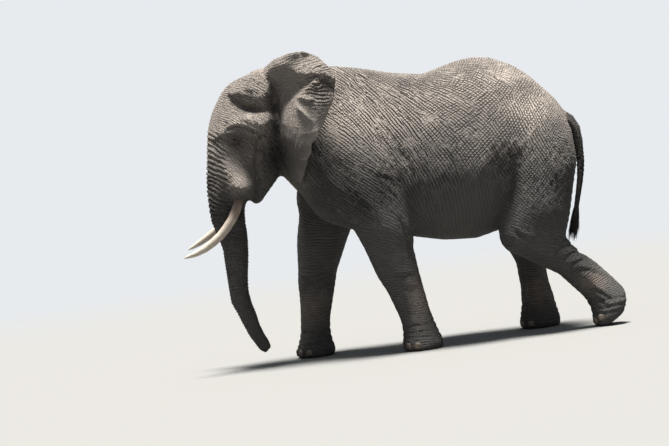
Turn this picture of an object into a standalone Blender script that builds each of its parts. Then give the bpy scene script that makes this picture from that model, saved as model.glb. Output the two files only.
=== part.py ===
"""A walking African bush elephant bull, life size, as one named solid for each part of the body.

The nose points along -Y and the left side is +X. The flesh is modelled whole, from lofts that are
melted into one surface, and is then parted by thin saw cuts. Ears, tail, tusks, eyes and nails are
modelled on their own and fitted to it.
"""

import math

import bmesh
import bpy
import numpy as np
from mathutils import Matrix, Vector
from mathutils.bvhtree import BVHTree

# ---------------------------------------------------------------- driving sizes, metres
GAP = 0.0004            # width of a saw cut, and clearance between fitted pieces
VOXEL = 0.018           # grain of the melted flesh
MELT_ROUNDS = 14        # smoothing that rounds the joins between the lofts
FLESH_TRIANGLES = 2350  # what the flesh is thinned to before it is parted
HEAD_ENDS, FEET_BEGIN = -0.95, 0.30
PLAIN_WEIGHT, FINE_WEIGHT = 1.0, 0.55
RING_POINTS = 32        # points round a loft
RINGS_BETWEEN = 3       # extra rings between two stations

EYE_RADIUS = 0.024
EYE_ALONG, EYE_HEIGHT = -1.495, 2.523
EYE_DEPTH = 0.013       # how far the middle of the eye lies behind the skin
EAR_ROOT_THICK, EAR_RIM_THICK = 0.040, 0.022
EAR_ROOT_DEPTH = 0.030  # how far the root of an ear is let into the head
EAR_CLEAR = 0.085       # how far the ear's outer face stays off the neck
EAR_RISE = 0.12         # and how far from its root it gets there
EAR_COLUMNS = 5
NAIL_WIDTH, NAIL_LENGTH, NAIL_DEPTH = 0.085, 0.085, 0.014
SHARP_ANGLE = 50        # degrees between two faces that are shaded as an edge
NAIL_SEARCH = 0.32      # nails are looked for from this far outside the middle of a foot
MIDLINE_CLEAR = 0.13    # the saw cuts of the legs stop this far from the middle
BLOCK_SIZE = 12.0       # a block that is larger than the elephant, before walls cut it down
BESIDE = 3.0            # well outside either flank
EASE = 0.5              # strength of one round of smoothing
EAR_FLARE = 0.85        # under 1, an ear leaves the head steeply and then levels out
TUSK_SIDES, TAIL_SIDES = 12, 8
TAIL_FLATNESS, TUFT_FLATNESS = 0.85, 0.5

GREY_HIDE = (0.235, 0.205, 0.185)
PALE_IVORY = (0.80, 0.70, 0.56)
HORN_NAIL = (0.36, 0.30, 0.25)
DARK_EYE = (0.06, 0.035, 0.02)
BLACK_HAIR = (0.03, 0.027, 0.025)

# ---------------------------------------------------------------- stations of the lofts
# Neck and trunk of the body: along, top, bottom, half width, height of the widest line,
# fullness above it, fullness below it. A fullness of 2 is an ellipse, less is more pointed.
BARREL = [
    (-1.20, 3.12, 2.30, 0.26, 2.75, 2.0, 2.0),
    (-1.00, 3.19, 2.03, 0.33, 2.62, 2.0, 2.0),
    (-0.85, 3.19, 1.82, 0.385, 2.48, 2.0, 2.1),
    (-0.68, 3.20, 1.54, 0.445, 2.34, 1.9, 2.2),
    (-0.42, 3.212, 1.40, 0.515, 2.20, 1.75, 2.2),
    (-0.18, 3.185, 1.34, 0.565, 2.12, 1.7, 2.2),
    (0.06, 3.130, 1.28, 0.615, 2.05, 1.75, 2.2),
    (0.35, 3.045, 1.205, 0.670, 2.00, 1.85, 2.2),
    (0.65, 3.000, 1.135, 0.705, 1.98, 1.9, 2.25),
    (0.95, 3.075, 1.108, 0.705, 1.98, 1.8, 2.25),
    (1.20, 3.108, 1.145, 0.665, 2.02, 1.7, 2.2),
    (1.45, 3.062, 1.250, 0.605, 2.08, 1.7, 2.1),
    (1.70, 2.925, 1.400, 0.535, 2.12, 1.8, 2.0),
    (1.90, 2.730, 1.550, 0.460, 2.15, 1.9, 2.0),
    (2.05, 2.545, 1.700, 0.365, 2.15, 2.0, 2.0),
    (2.16, 2.370, 1.880, 0.220, 2.15, 2.0, 2.0),
]

# The rest are (front y, front z), (back y, back z), offset of the middle to the left, half width,
# and how much the front is narrower than the back.
HEAD_AND_TRUNK = [
    ((-1.22, 3.285), (-0.98, 3.290), 0, 0.130, 0.0),
    ((-1.40, 3.210), (-0.86, 3.235), 0, 0.245, 0.0),
    ((-1.55, 3.115), (-0.78, 3.150), 0, 0.320, 0.05),
    ((-1.665, 2.965), (-0.74, 3.000), 0, 0.365, 0.10),
    ((-1.745, 2.820), (-0.76, 2.850), 0, 0.385, 0.14),
    ((-1.800, 2.660), (-0.82, 2.680), 0, 0.400, 0.17),
    ((-1.828, 2.500), (-0.90, 2.500), 0, 0.395, 0.18),
    ((-1.852, 2.330), (-1.00, 2.330), 0, 0.360, 0.18),
    ((-1.876, 2.170), (-1.10, 2.160), 0, 0.325, 0.16),
    ((-1.890, 2.020), (-1.24, 2.020), 0, 0.290, 0.12),
    ((-1.893, 1.880), (-1.42, 1.900), 0, 0.245, 0.06),
    ((-1.890, 1.750), (-1.495, 1.770), 0, 0.205, 0.0),
    ((-1.878, 1.630), (-1.507, 1.640), 0, 0.182, 0.0),
    ((-1.838, 1.490), (-1.503, 1.500), 0, 0.164, 0.0),
    ((-1.803, 1.340), (-1.512, 1.350), 0, 0.149, 0.0),
    ((-1.799, 1.180), (-1.532, 1.190), 0, 0.136, 0.0),
    ((-1.797, 1.030), (-1.556, 1.030), 0, 0.124, 0.0),
    ((-1.793, 0.880), (-1.572, 0.875), 0, 0.114, 0.0),
    ((-1.784, 0.740), (-1.558, 0.755), 0, 0.106, 0.0),
    ((-1.728, 0.590), (-1.530, 0.648), 0, 0.097, 0.0),
    ((-1.670, 0.430), (-1.500, 0.490), 0, 0.088, 0.0),
    ((-1.610, 0.300), (-1.460, 0.372), 0, 0.078, 0.0),
    ((-1.548, 0.195), (-1.420, 0.277), 0, 0.070, 0.0),
    ((-1.492, 0.130), (-1.386, 0.212), 0, 0.064, 0.0),
]
JAW = [
    ((-1.40, 2.42), (-0.98, 2.30), 0, 0.285, 0.0),
    ((-1.43, 2.20), (-1.05, 2.12), 0, 0.270, 0.0),
    ((-1.45, 2.05), (-1.14, 2.00), 0, 0.225, 0.0),
    ((-1.445, 1.955), (-1.225, 1.905), 0, 0.160, 0.0),
    ((-1.432, 1.870), (-1.290, 1.825), 0, 0.098, 0.0),
    ((-1.412, 1.805), (-1.345, 1.785), 0, 0.050, 0.0),
]
TUSK_SHEATH = [
    ((-1.72, 2.42), (-1.44, 2.44), 0.150, 0.130, 0.0),
    ((-1.70, 2.24), (-1.40, 2.26), 0.185, 0.150, 0.0),
    ((-1.675, 2.08), (-1.38, 2.12), 0.218, 0.148, 0.0),
    ((-1.650, 1.95), (-1.395, 2.00), 0.243, 0.128, 0.0),
    ((-1.635, 1.865), (-1.425, 1.925), 0.262, 0.102, 0.0),
]
FORELEG_LEFT = [
    ((-0.44, 2.72), (0.06, 2.80), 0.32, 0.13, 0.0),
    ((-0.56, 2.36), (0.24, 2.46), 0.405, 0.190, 0.0),
    ((-0.60, 2.00), (0.385, 2.06), 0.445, 0.225, 0.0),
    ((-0.53, 1.68), (0.385, 1.68), 0.450, 0.230, 0.0),
    ((-0.37, 1.42), (0.325, 1.32), 0.440, 0.228, 0.0),
    ((-0.275, 1.23), (0.288, 1.15), 0.428, 0.218, 0.0),
    ((-0.193, 1.00), (0.302, 0.95), 0.418, 0.202, 0.0),
    ((-0.122, 0.80), (0.327, 0.76), 0.408, 0.190, 0.0),
    ((-0.052, 0.62), (0.352, 0.60), 0.400, 0.178, 0.0),
    ((0.008, 0.45), (0.380, 0.44), 0.394, 0.170, 0.0),
    ((0.043, 0.32), (0.408, 0.32), 0.390, 0.172, 0.0),
    ((0.046, 0.20), (0.446, 0.20), 0.388, 0.196, 0.0),
    ((0.030, 0.09), (0.480, 0.09), 0.388, 0.222, 0.0),
    ((0.040, -0.05), (0.478, -0.05), 0.388, 0.216, 0.0),
]
FORELEG_RIGHT = [
    ((-0.70, 2.64), (-0.18, 2.78), -0.32, 0.13, 0.0),
    ((-0.86, 2.30), (-0.12, 2.40), -0.405, 0.190, 0.0),
    ((-0.935, 1.92), (-0.12, 1.95), -0.445, 0.222, 0.0),
    ((-0.925, 1.62), (-0.21, 1.62), -0.450, 0.230, 0.0),
    ((-0.978, 1.38), (-0.36, 1.38), -0.440, 0.228, 0.0),
    ((-1.004, 1.15), (-0.465, 1.15), -0.428, 0.214, 0.0),
    ((-1.018, 0.95), (-0.560, 0.95), -0.416, 0.200, 0.0),
    ((-1.034, 0.76), (-0.617, 0.76), -0.406, 0.186, 0.0),
    ((-1.046, 0.60), (-0.662, 0.60), -0.398, 0.175, 0.0),
    ((-1.060, 0.45), (-0.702, 0.45), -0.392, 0.168, 0.0),
    ((-1.076, 0.32), (-0.727, 0.32), -0.388, 0.170, 0.0),
    ((-1.108, 0.20), (-0.724, 0.20), -0.386, 0.194, 0.0),
    ((-1.150, 0.09), (-0.700, 0.09), -0.386, 0.220, 0.0),
    ((-1.140, -0.05), (-0.706, -0.05), -0.386, 0.214, 0.0),
]
HINDLEG_LEFT = [
    ((1.50, 2.58), (2.00, 2.52), 0.26, 0.17, 0.0),
    ((1.42, 2.22), (2.150, 2.20), 0.335, 0.225, 0.0),
    ((1.37, 1.86), (2.172, 1.84), 0.370, 0.245, 0.0),
    ((1.31, 1.52), (2.085, 1.51), 0.390, 0.248, 0.0),
    ((1.23, 1.24), (2.025, 1.25), 0.400, 0.235, 0.0),
    ((1.255, 0.99), (1.965, 1.09), 0.400, 0.220, 0.0),
    ((1.41, 0.865), (1.945, 1.01), 0.397, 0.203, 0.0),
    ((1.60, 0.745), (1.985, 0.945), 0.392, 0.186, 0.0),
    ((1.79, 0.630), (2.085, 0.830), 0.386, 0.166, 0.0),
    ((1.93, 0.490), (2.210, 0.730), 0.381, 0.152, 0.0),
    ((2.04, 0.350), (2.345, 0.585), 0.377, 0.152, 0.0),
    ((2.105, 0.235), (2.455, 0.450), 0.374, 0.172, 0.0),
    ((2.118, 0.130), (2.525, 0.335), 0.372, 0.194, 0.0),
    ((2.125, 0.020), (2.515, 0.220), 0.372, 0.200, 0.0),
    ((2.165, -0.055), (2.475, 0.120), 0.372, 0.180, 0.0),
]
HINDLEG_RIGHT = [
    ((1.52, 2.58), (1.99, 2.52), -0.26, 0.17, 0.0),
    ((1.42, 2.20), (2.130, 2.20), -0.335, 0.225, 0.0),
    ((1.36, 1.82), (2.110, 1.82), -0.370, 0.245, 0.0),
    ((1.33, 1.42), (1.990, 1.42), -0.390, 0.240, 0.0),
    ((1.325, 1.12), (1.885, 1.14), -0.395, 0.220, 0.0),
    ((1.365, 0.93), (1.820, 0.95), -0.392, 0.205, 0.0),
    ((1.435, 0.76), (1.778, 0.78), -0.386, 0.180, 0.0),
    ((1.455, 0.60), (1.778, 0.60), -0.380, 0.158, 0.0),
    ((1.455, 0.45), (1.802, 0.45), -0.375, 0.152, 0.0),
    ((1.445, 0.30), (1.832, 0.30), -0.372, 0.165, 0.0),
    ((1.415, 0.18), (1.856, 0.18), -0.370, 0.190, 0.0),
    ((1.395, 0.08), (1.870, 0.08), -0.370, 0.206, 0.0),
    ((1.405, -0.05), (1.862, -0.05), -0.370, 0.200, 0.0),
]


# Bones and muscles that show through, on both sides: centre, reach, height over the smooth form.
BONES_AND_HOLLOWS = [
    ((0.24, -1.26, 3.080), (0.22, 0.15, 0.110), 0.030),   # upper temple
    ((0.33, -1.46, 2.960), (0.22, 0.11, 0.070), -0.032),  # hollow of the temple, in front
    ((0.34, -1.32, 2.885), (0.22, 0.13, 0.070), -0.050),  # and in the middle
    ((0.34, -1.15, 2.855), (0.22, 0.12, 0.070), -0.045),  # and towards the ear
    ((0.34, -1.51, 2.775), (0.20, 0.13, 0.075), 0.030),   # brow, in front
    ((0.37, -1.33, 2.745), (0.20, 0.13, 0.070), 0.038),   # brow, over the eye
    ((0.38, -1.16, 2.670), (0.20, 0.13, 0.080), 0.030),   # cheek bone, towards the ear
    ((0.36, -1.47, 2.545), (0.20, 0.11, 0.085), -0.024),  # round the eye
    ((0.36, -1.06, 2.560), (0.30, 0.14, 0.420), 0.045),   # root of the ear
    ((0.34, -1.22, 2.380), (0.25, 0.11, 0.200), -0.040),  # under the cheek bone
    ((0.30, -1.34, 2.160), (0.25, 0.07, 0.150), -0.028),  # behind the tusk
    ((0.42, -0.30, 2.640), (0.35, 0.10, 0.360), 0.030),   # spine of the shoulder blade
    ((0.45, -0.52, 2.150), (0.35, 0.20, 0.220), 0.028),   # point of the shoulder
    ((0.55, 0.27, 2.150), (0.40, 0.12, 0.450), -0.035),   # behind the shoulder
    ((0.60, 0.65, 1.900), (0.40, 0.45, 0.500), 0.020),    # ribs and belly
    ((0.45, 1.42, 2.800), (0.35, 0.16, 0.160), 0.028),    # hip bone
    ((0.58, 1.06, 2.250), (0.40, 0.15, 0.300), -0.035),   # hollow of the flank
    ((0.55, 1.22, 1.650), (0.40, 0.12, 0.350), -0.030),   # in front of the thigh
    ((0.50, 1.75, 2.050), (0.40, 0.28, 0.350), 0.025),    # thigh
]
ONE_SIDED = [
    ((0.40, 0.24, 1.360), (0.30, 0.10, 0.130), 0.022),    # left elbow
    ((-0.40, -0.42, 1.420), (0.30, 0.10, 0.130), 0.018),  # right elbow
    ((0.40, 1.30, 1.120), (0.30, 0.12, 0.140), 0.020),    # left knee
    ((0.40, -0.10, 0.860), (0.20, 0.10, 0.100), 0.012),   # left wrist
    ((-0.40, -1.03, 0.860), (0.20, 0.10, 0.100), 0.012),  # right wrist
]

# Tusks: across, along, up, from the root to the point, and the radius at each place.
TUSK_LEFT = [
    (0.225, -1.530, 2.140), (0.246, -1.528, 1.980), (0.262, -1.550, 1.847), (0.275, -1.584, 1.762),
    (0.289, -1.640, 1.668), (0.302, -1.710, 1.585), (0.314, -1.785, 1.512), (0.324, -1.871, 1.450),
    (0.332, -1.968, 1.392), (0.336, -2.075, 1.350), (0.337, -2.160, 1.329), (0.336, -2.215, 1.319),
]
TUSK_RIGHT = [
    (0.225, -1.530, 2.150), (0.246, -1.528, 1.990), (0.262, -1.550, 1.872), (0.275, -1.588, 1.800),
    (0.289, -1.644, 1.724), (0.302, -1.716, 1.660), (0.314, -1.794, 1.602), (0.324, -1.881, 1.550),
    (0.332, -1.976, 1.496), (0.336, -2.076, 1.443), (0.337, -2.158, 1.405), (0.336, -2.213, 1.383),
]
TUSK_RADII = [0.050, 0.052, 0.053, 0.052, 0.051, 0.050, 0.048, 0.046, 0.042, 0.034, 0.021, 0.007]

TAIL = [
    (0, 2.10, 2.330), (0, 2.185, 2.270), (0, 2.240, 2.170), (0, 2.258, 2.041), (0, 2.260, 1.928),
    (0.005, 2.262, 1.816), (0.010, 2.247, 1.706), (0.014, 2.227, 1.596), (0.018, 2.184, 1.434),
    (0.020, 2.140, 1.272), (0.020, 2.110, 1.180),
]
TAIL_RADII = [0.080, 0.076, 0.068, 0.058, 0.052, 0.046, 0.041, 0.037, 0.032, 0.028, 0.026]
TUFT = [
    (0.020, 2.135, 1.250), (0.020, 2.105, 1.165), (0.020, 2.080, 1.080), (0.022, 2.060, 1.010),
    (0.024, 2.045, 0.940), (0.026, 2.035, 0.885),
]
TUFT_RADII = [0.036, 0.052, 0.062, 0.058, 0.040, 0.014]

# Left ear, from its top to its lowest point: root y, root z, rim y, rim z, how far the rim stands
# out beyond the root, and how much the middle bulges out.
EAR_ROWS = [
    (-1.130, 3.195, -1.085, 3.285, 0.060, 0.000),
    (-1.085, 3.160, -0.960, 3.362, 0.130, -0.010),
    (-1.045, 3.110, -0.800, 3.394, 0.200, -0.030),
    (-1.015, 3.040, -0.630, 3.388, 0.250, -0.050),
    (-1.005, 2.960, -0.480, 3.300, 0.300, -0.065),
    (-1.005, 2.870, -0.375, 3.165, 0.330, -0.060),
    (-1.010, 2.780, -0.318, 3.010, 0.345, -0.040),
    (-1.005, 2.680, -0.360, 2.835, 0.345, -0.010),
    (-0.995, 2.560, -0.455, 2.660, 0.325, 0.020),
    (-0.985, 2.440, -0.550, 2.490, 0.290, 0.035),
    (-0.975, 2.320, -0.655, 2.335, 0.240, 0.035),
    (-0.965, 2.210, -0.715, 2.205, 0.190, 0.025),
    (-0.950, 2.110, -0.770, 2.080, 0.140, 0.015),
    (-0.925, 2.030, -0.835, 1.945, 0.090, 0.005),
]

# Saw cuts, seen from the left: going from the first point to the second, the piece taken is on
# the right hand.
HEAD_CUT = ((-0.93, 3.60), (-0.86, 1.75))
THROAT_CUT = ((-0.85, 1.93), (-1.30, 1.70))
NECK_CUT = ((-0.50, 3.45), (-0.93, 1.80))
ELBOW_CUT, FLANK_CUT = 0.38, 1.22
CHIN_CUT = ((-1.445, 1.95), (-1.300, 0.00))
JAW_ENDS = -1.09
JAW_CUT = ((-1.470, 1.895), (-1.000, 2.130))
TRUNK_CUTS = [
    ((-2.10, 1.840), (-1.30, 1.800)),
    ((-2.10, 1.330), (-1.30, 1.345)),
    ((-2.10, 0.870), (-1.30, 0.860)),
    ((-2.10, 0.330), (-1.30, 0.565)),
]
TRUNK_NAMES = ["trunk_upper", "trunk_middle", "trunk_lower", "trunk_tip"]
# Legs: nodes from the body down, side, the walls in front of and behind the leg, and the cut
# above each node.
LEG_CUTS = [
    (("foreleg_left_upper", "foreleg_left_lower", "forefoot_left"), 1,
     [((-0.43, 0.0), (-0.43, 4.0)), ((0.37, 1.40), (0.62, 0.0))],
     [((-0.60, 1.530), (0.40, 1.225)), ((-0.60, 0.980), (0.60, 0.860)), ((-0.60, 0.285), (0.80, 0.285))]),
    (("foreleg_right_upper", "foreleg_right_lower", "forefoot_right"), -1,
     [((-1.30, 0.0), (-1.30, 4.0)), ((-0.25, 4.0), (-0.25, 0.0))],
     [((-1.05, 1.600), (-0.30, 1.400)), ((-1.30, 0.890), (0.00, 0.850)), ((-1.40, 0.285), (0.00, 0.285))]),
    (("thigh_left", "shank_left", "hindfoot_left"), 1,
     [((1.13, 0.0), (1.13, 4.0))],
     [((1.10, 1.190), (2.20, 1.590)), ((1.10, 0.830), (2.10, 1.130)), ((1.80, 0.320), (2.50, 0.900))]),
    (("thigh_right", "shank_right", "hindfoot_right"), -1,
     [((1.13, 0.0), (1.13, 4.0))],
     [((1.25, 1.160), (2.20, 1.560)), ((1.20, 0.960), (2.00, 1.000)), ((1.20, 0.285), (2.20, 0.285))]),
]

# Feet: node, a point inside at the height of the nails, which way the toes point, which way the
# sole faces, and the angles of the nails round from the toes.
FEET = [
    ("forefoot_left", (0.388, 0.255, 0.062), (0, -1, 0), (0, 0, -1), (-72, -37, -2, 33, 68)),
    ("forefoot_right", (-0.386, -0.925, 0.062), (0, -1, 0), (0, 0, -1), (-68, -33, 2, 37, 72)),
    ("hindfoot_left", (0.372, 2.305, 0.165), (0, -0.87, -0.49), (0, 0.49, -0.87), (-51, -17, 17, 51)),
    ("hindfoot_right", (-0.370, 1.635, 0.062), (0, -1, 0), (0, 0, -1), (-51, -17, 17, 51)),
]


# ---------------------------------------------------------------- small helpers
def clear_scene():
    for thing in list(bpy.data.objects):
        bpy.data.objects.remove(thing)


def collection_named(name, hidden=False):
    made = bpy.data.collections.new(name)
    bpy.context.scene.collection.children.link(made)
    made.hide_render = hidden
    return made


def material_named(name, colour, roughness):
    made = bpy.data.materials.new(name)
    made.use_nodes = True
    shader = made.node_tree.nodes["Principled BSDF"]
    shader.inputs["Base Color"].default_value = (*colour, 1)
    shader.inputs["Roughness"].default_value = roughness
    return made


def object_from(name, bm, collection):
    mesh = bpy.data.meshes.new(name)
    bm.to_mesh(mesh)
    bm.free()
    made = bpy.data.objects.new(name, mesh)
    collection.objects.link(made)
    return made


def curve_through(rows, between):
    """Catmull-Rom values between the rows of numbers, with `between` extra rows in each step."""
    rows = [np.asarray(row, float) for row in rows]
    ends = [2 * rows[0] - rows[1], *rows, 2 * rows[-1] - rows[-2]]
    found = []
    for a, b, c, d in zip(ends, ends[1:], ends[2:], ends[3:]):
        for step in range(between + 1):
            t = step / (between + 1)
            found.append(0.5 * (2 * b + (c - a) * t + (2 * a - 5 * b + 4 * c - d) * t**2
                                + (3 * b - a - 3 * c + d) * t**3))
    return [*found, rows[-1]]


def loft(name, rings, collection):
    """A closed skin over rings of equal numbers of points, with flat ends."""
    bm = bmesh.new()
    made = [[bm.verts.new(point) for point in ring] for ring in rings]
    count = len(rings[0])
    for lower, upper in zip(made, made[1:]):
        for i in range(count):
            j = (i + 1) % count
            bm.faces.new((lower[i], lower[j], upper[j], upper[i]))
    bm.faces.new(made[0])
    bm.faces.new(made[-1])
    bmesh.ops.recalc_face_normals(bm, faces=bm.faces)
    return object_from(name, bm, collection)


def powered(value, fullness):
    return math.copysign(abs(value) ** (2 / fullness), value)


def barrel_ring(along, top, bottom, half, widest, full_top, full_bottom):
    ring = []
    for i in range(RING_POINTS):
        turn = 2 * math.pi * (i + 0.5) / RING_POINTS
        up = math.sin(turn)
        fullness = full_top if up > 0 else full_bottom
        reach = top - widest if up > 0 else widest - bottom
        height = widest + reach * powered(up, fullness)
        ring.append((half * powered(math.cos(turn), fullness), along, height))
    return ring


def limb_ring(front_y, front_z, back_y, back_z, middle, half, narrow):
    """An ellipse across the line from the front point to the back point, narrower in front."""
    ring = []
    for i in range(RING_POINTS):
        turn = 2 * math.pi * (i + 0.5) / RING_POINTS
        back = (1 - math.cos(turn)) / 2
        width = half * (1 - narrow * math.cos(turn))
        ring.append((middle + width * math.sin(turn),
                     front_y + (back_y - front_y) * back, front_z + (back_z - front_z) * back))
    return ring


def limb(name, stations, collection, side=1):
    rows = [(*front, *back, middle * side, half, narrow) for front, back, middle, half, narrow in stations]
    return loft(name, [limb_ring(*row) for row in curve_through(rows, RINGS_BETWEEN)], collection)


def bake_modifiers(thing):
    """Replaces the object's mesh by what its modifiers make of it."""
    bpy.context.view_layer.update()
    graph = bpy.context.evaluated_depsgraph_get()
    made = bpy.data.meshes.new_from_object(thing.evaluated_get(graph))
    thing.modifiers.clear()
    thing.data = made


def joined(name, things, collection):
    bm = bmesh.new()
    for thing in things:
        bm.from_mesh(thing.data)
        bpy.data.objects.remove(thing)
    return object_from(name, bm, collection)


def points_of(mesh):
    found = np.empty(len(mesh.vertices) * 3, np.float32)
    mesh.vertices.foreach_get("co", found)
    return found.reshape(-1, 3).astype(float)


def normals_of(mesh):
    found = np.empty(len(mesh.vertices) * 3, np.float32)
    mesh.vertices.foreach_get("normal", found)
    return found.reshape(-1, 3).astype(float)


def press(mesh, centre, reach, amount, both_sides=True):
    """Lifts the surface near centre by amount, or sinks it, fading as a bell over reach (x, y, z)."""
    places, normals = points_of(mesh), normals_of(mesh)
    for side in (1, -1) if both_sides else (1,):
        away = (places - np.array(centre) * (side, 1, 1)) / np.array(reach)
        places += normals * (amount * np.exp(-(away**2).sum(1)))[:, None]
    mesh.vertices.foreach_set("co", places.astype(np.float32).ravel())
    mesh.update()


# ---------------------------------------------------------------- the flesh, whole
def melted_flesh(workshop):
    pieces = [loft("barrel", [barrel_ring(*row) for row in curve_through(BARREL, RINGS_BETWEEN)], workshop)]
    pieces.append(limb("head_and_trunk", HEAD_AND_TRUNK, workshop))
    pieces.append(limb("jaw", JAW, workshop))
    for side in (1, -1):
        pieces.append(limb("sheath", TUSK_SHEATH, workshop, side))
    for stations in (FORELEG_LEFT, FORELEG_RIGHT, HINDLEG_LEFT, HINDLEG_RIGHT):
        pieces.append(limb("leg", stations, workshop))
    flesh = joined("flesh", pieces, workshop)
    melt = flesh.modifiers.new("melt", "REMESH")
    melt.mode = "VOXEL"
    melt.voxel_size = VOXEL
    ease = flesh.modifiers.new("ease", "SMOOTH")
    ease.factor = EASE
    ease.iterations = MELT_ROUNDS
    bake_modifiers(flesh)
    for centre, reach, amount in BONES_AND_HOLLOWS:
        press(flesh.data, centre, reach, amount)
    for centre, reach, amount in ONE_SIDED:
        press(flesh.data, centre, reach, amount, both_sides=False)
    return flesh


def search_tree(thing):
    bm = bmesh.new()
    bm.from_mesh(thing.data)
    found = BVHTree.FromBMesh(bm)
    bm.free()
    return found


def thin_out(flesh):
    """Fewer triangles, with more of them kept in the head and the feet."""
    loss = flesh.vertex_groups.new(name="loss")
    places = points_of(flesh.data)
    plain = (places[:, 1] > HEAD_ENDS) & (places[:, 2] > FEET_BEGIN)
    loss.add(np.flatnonzero(plain).tolist(), PLAIN_WEIGHT, "REPLACE")
    loss.add(np.flatnonzero(~plain).tolist(), FINE_WEIGHT, "REPLACE")
    thin = flesh.modifiers.new("thin", "DECIMATE")
    thin.ratio = FLESH_TRIANGLES / (2 * len(flesh.data.polygons))
    thin.vertex_group = "loss"
    bake_modifiers(flesh)


# ---------------------------------------------------------------- parting the flesh
def side_wall(start, end):
    """A wall seen edge on from the side: going from start to end, the outside is on the left hand."""
    way = Vector((0, end[0] - start[0], end[1] - start[1])).normalized()
    return Vector((0, *start)), Vector((0, -way.z, way.y))


def inner_wall(side, clear):
    """An upright wall beside the middle plane. Outside is towards the other flank."""
    return Vector((side * clear, 0, 0)), Vector((-side, 0, 0))


def wedge(name, walls, collection, grow=0.0):
    """A big block cut down to the space inside the walls."""
    bm = bmesh.new()
    bmesh.ops.create_cube(bm, size=BLOCK_SIZE)
    for point, outward in walls:
        found = bmesh.ops.bisect_plane(bm, geom=[*bm.verts, *bm.edges, *bm.faces], dist=1e-6,
                                       plane_co=point + outward * grow, plane_no=outward, clear_outer=True)
        rim = [item for item in found["geom_cut"] if isinstance(item, bmesh.types.BMEdge)]
        bmesh.ops.edgeloop_fill(bm, edges=rim)
    bmesh.ops.recalc_face_normals(bm, faces=bm.faces)
    return object_from(name, bm, collection)


def is_closed(mesh):
    bm = bmesh.new()
    bm.from_mesh(mesh)
    closed = all(len(edge.link_faces) == 2 for edge in bm.edges)
    bm.free()
    return closed


def boolean(thing, other, operation):
    """The exact solver, or the manifold one where the exact one leaves a hole."""
    before = thing.data
    for solver in ("EXACT", "MANIFOLD"):
        thing.data = before
        made = thing.modifiers.new(operation.lower(), "BOOLEAN")
        made.operation = operation
        made.solver = solver
        made.object = other
        bake_modifiers(thing)
        if is_closed(thing.data):
            return
    print(thing.name, "is left open by", other.name)


def copied(thing, name, collection):
    made = bpy.data.objects.new(name, thing.data.copy())
    collection.objects.link(made)
    return made


def part_off(rest, name, walls, workshop, elephant):
    """Takes what lies inside the walls off rest, as its own object, with a saw cut between."""
    piece = copied(rest, name, elephant)
    inside = wedge("inside", walls, workshop)
    around = wedge("around", walls, workshop, GAP)
    boolean(piece, inside, "INTERSECT")
    boolean(rest, around, "DIFFERENCE")
    for helper in (inside, around):
        bpy.data.objects.remove(helper)
    return piece


def facet(thing):
    """Fixes the diagonals of the faces, so that a piece and its place are faceted alike."""
    bm = bmesh.new()
    bm.from_mesh(thing.data)
    bmesh.ops.triangulate(bm, faces=bm.faces)
    bm.to_mesh(thing.data)
    bm.free()


def let_in(receiver, piece, workshop):
    """Cuts the place of the piece out of the receiver, with a little clearance all round."""
    facet(piece)
    cutter = copied(piece, "cutter", workshop)
    swell = cutter.modifiers.new("swell", "DISPLACE")
    swell.strength = GAP * 1.5
    swell.mid_level = 0
    bake_modifiers(cutter)
    boolean(receiver, cutter, "DIFFERENCE")
    bpy.data.objects.remove(cutter)


def keep_largest_shell(thing):
    bm = bmesh.new()
    bm.from_mesh(thing.data)
    bm.verts.ensure_lookup_table()
    unseen, shells = set(bm.verts), []
    while unseen:
        start = next(iter(unseen))
        shell, front = {start}, [start]
        while front:
            for edge in front.pop().link_edges:
                for vert in edge.verts:
                    if vert not in shell:
                        shell.add(vert)
                        front.append(vert)
        unseen -= shell
        shells.append(shell)
    shells.sort(key=len)
    for shell in shells[:-1]:
        bmesh.ops.delete(bm, geom=list(shell), context="VERTS")
    bm.to_mesh(thing.data)
    bm.free()
    return len(shells)


def parted(flesh, workshop, elephant):
    ground = wedge("ground", [(Vector((0, 0, 0)), Vector((0, 0, 1)))], workshop)
    boolean(flesh, ground, "DIFFERENCE")
    bpy.data.objects.remove(ground)
    found = {}

    def take(rest, name, *walls):
        found[name] = part_off(rest, name, walls, workshop, elephant)
        return found[name]

    for names, side, ends, cuts in LEG_CUTS:
        walls = [side_wall(*end) for end in ends]
        upper = take(flesh, names[0], side_wall(*cuts[0]), inner_wall(side, MIDLINE_CLEAR), *walls)
        lower = take(upper, names[1], side_wall(*cuts[1]))
        take(lower, names[2], side_wall(*cuts[2]))
    trunk = take(flesh, TRUNK_NAMES[0], side_wall(*TRUNK_CUTS[0]), side_wall(*CHIN_CUT))
    for name, cut in zip(TRUNK_NAMES[1:], TRUNK_CUTS[1:]):
        trunk = take(trunk, name, side_wall(*cut))
    head = take(flesh, "head", side_wall(*HEAD_CUT), side_wall(*THROAT_CUT))
    take(head, "lower_jaw", side_wall(*JAW_CUT), side_wall((JAW_ENDS, 4), (JAW_ENDS, 0)))
    take(flesh, "neck", side_wall(*NECK_CUT))
    take(flesh, "forequarters", side_wall((ELBOW_CUT, 4), (ELBOW_CUT, 0)))
    take(flesh, "hindquarters", side_wall((FLANK_CUT, 0), (FLANK_CUT, 4)))
    flesh.name = "barrel"
    workshop.objects.unlink(flesh)
    elephant.objects.link(flesh)
    found["barrel"] = flesh
    return found


# ---------------------------------------------------------------- the pieces fitted to the flesh
def side_reach(tree, along, height, side):
    """Where the flesh begins, coming in from the left or the right at this place."""
    hit, normal, _, _ = tree.ray_cast(Vector((side * BESIDE, along, height)), Vector((-side, 0, 0)))
    return hit, normal


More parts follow.
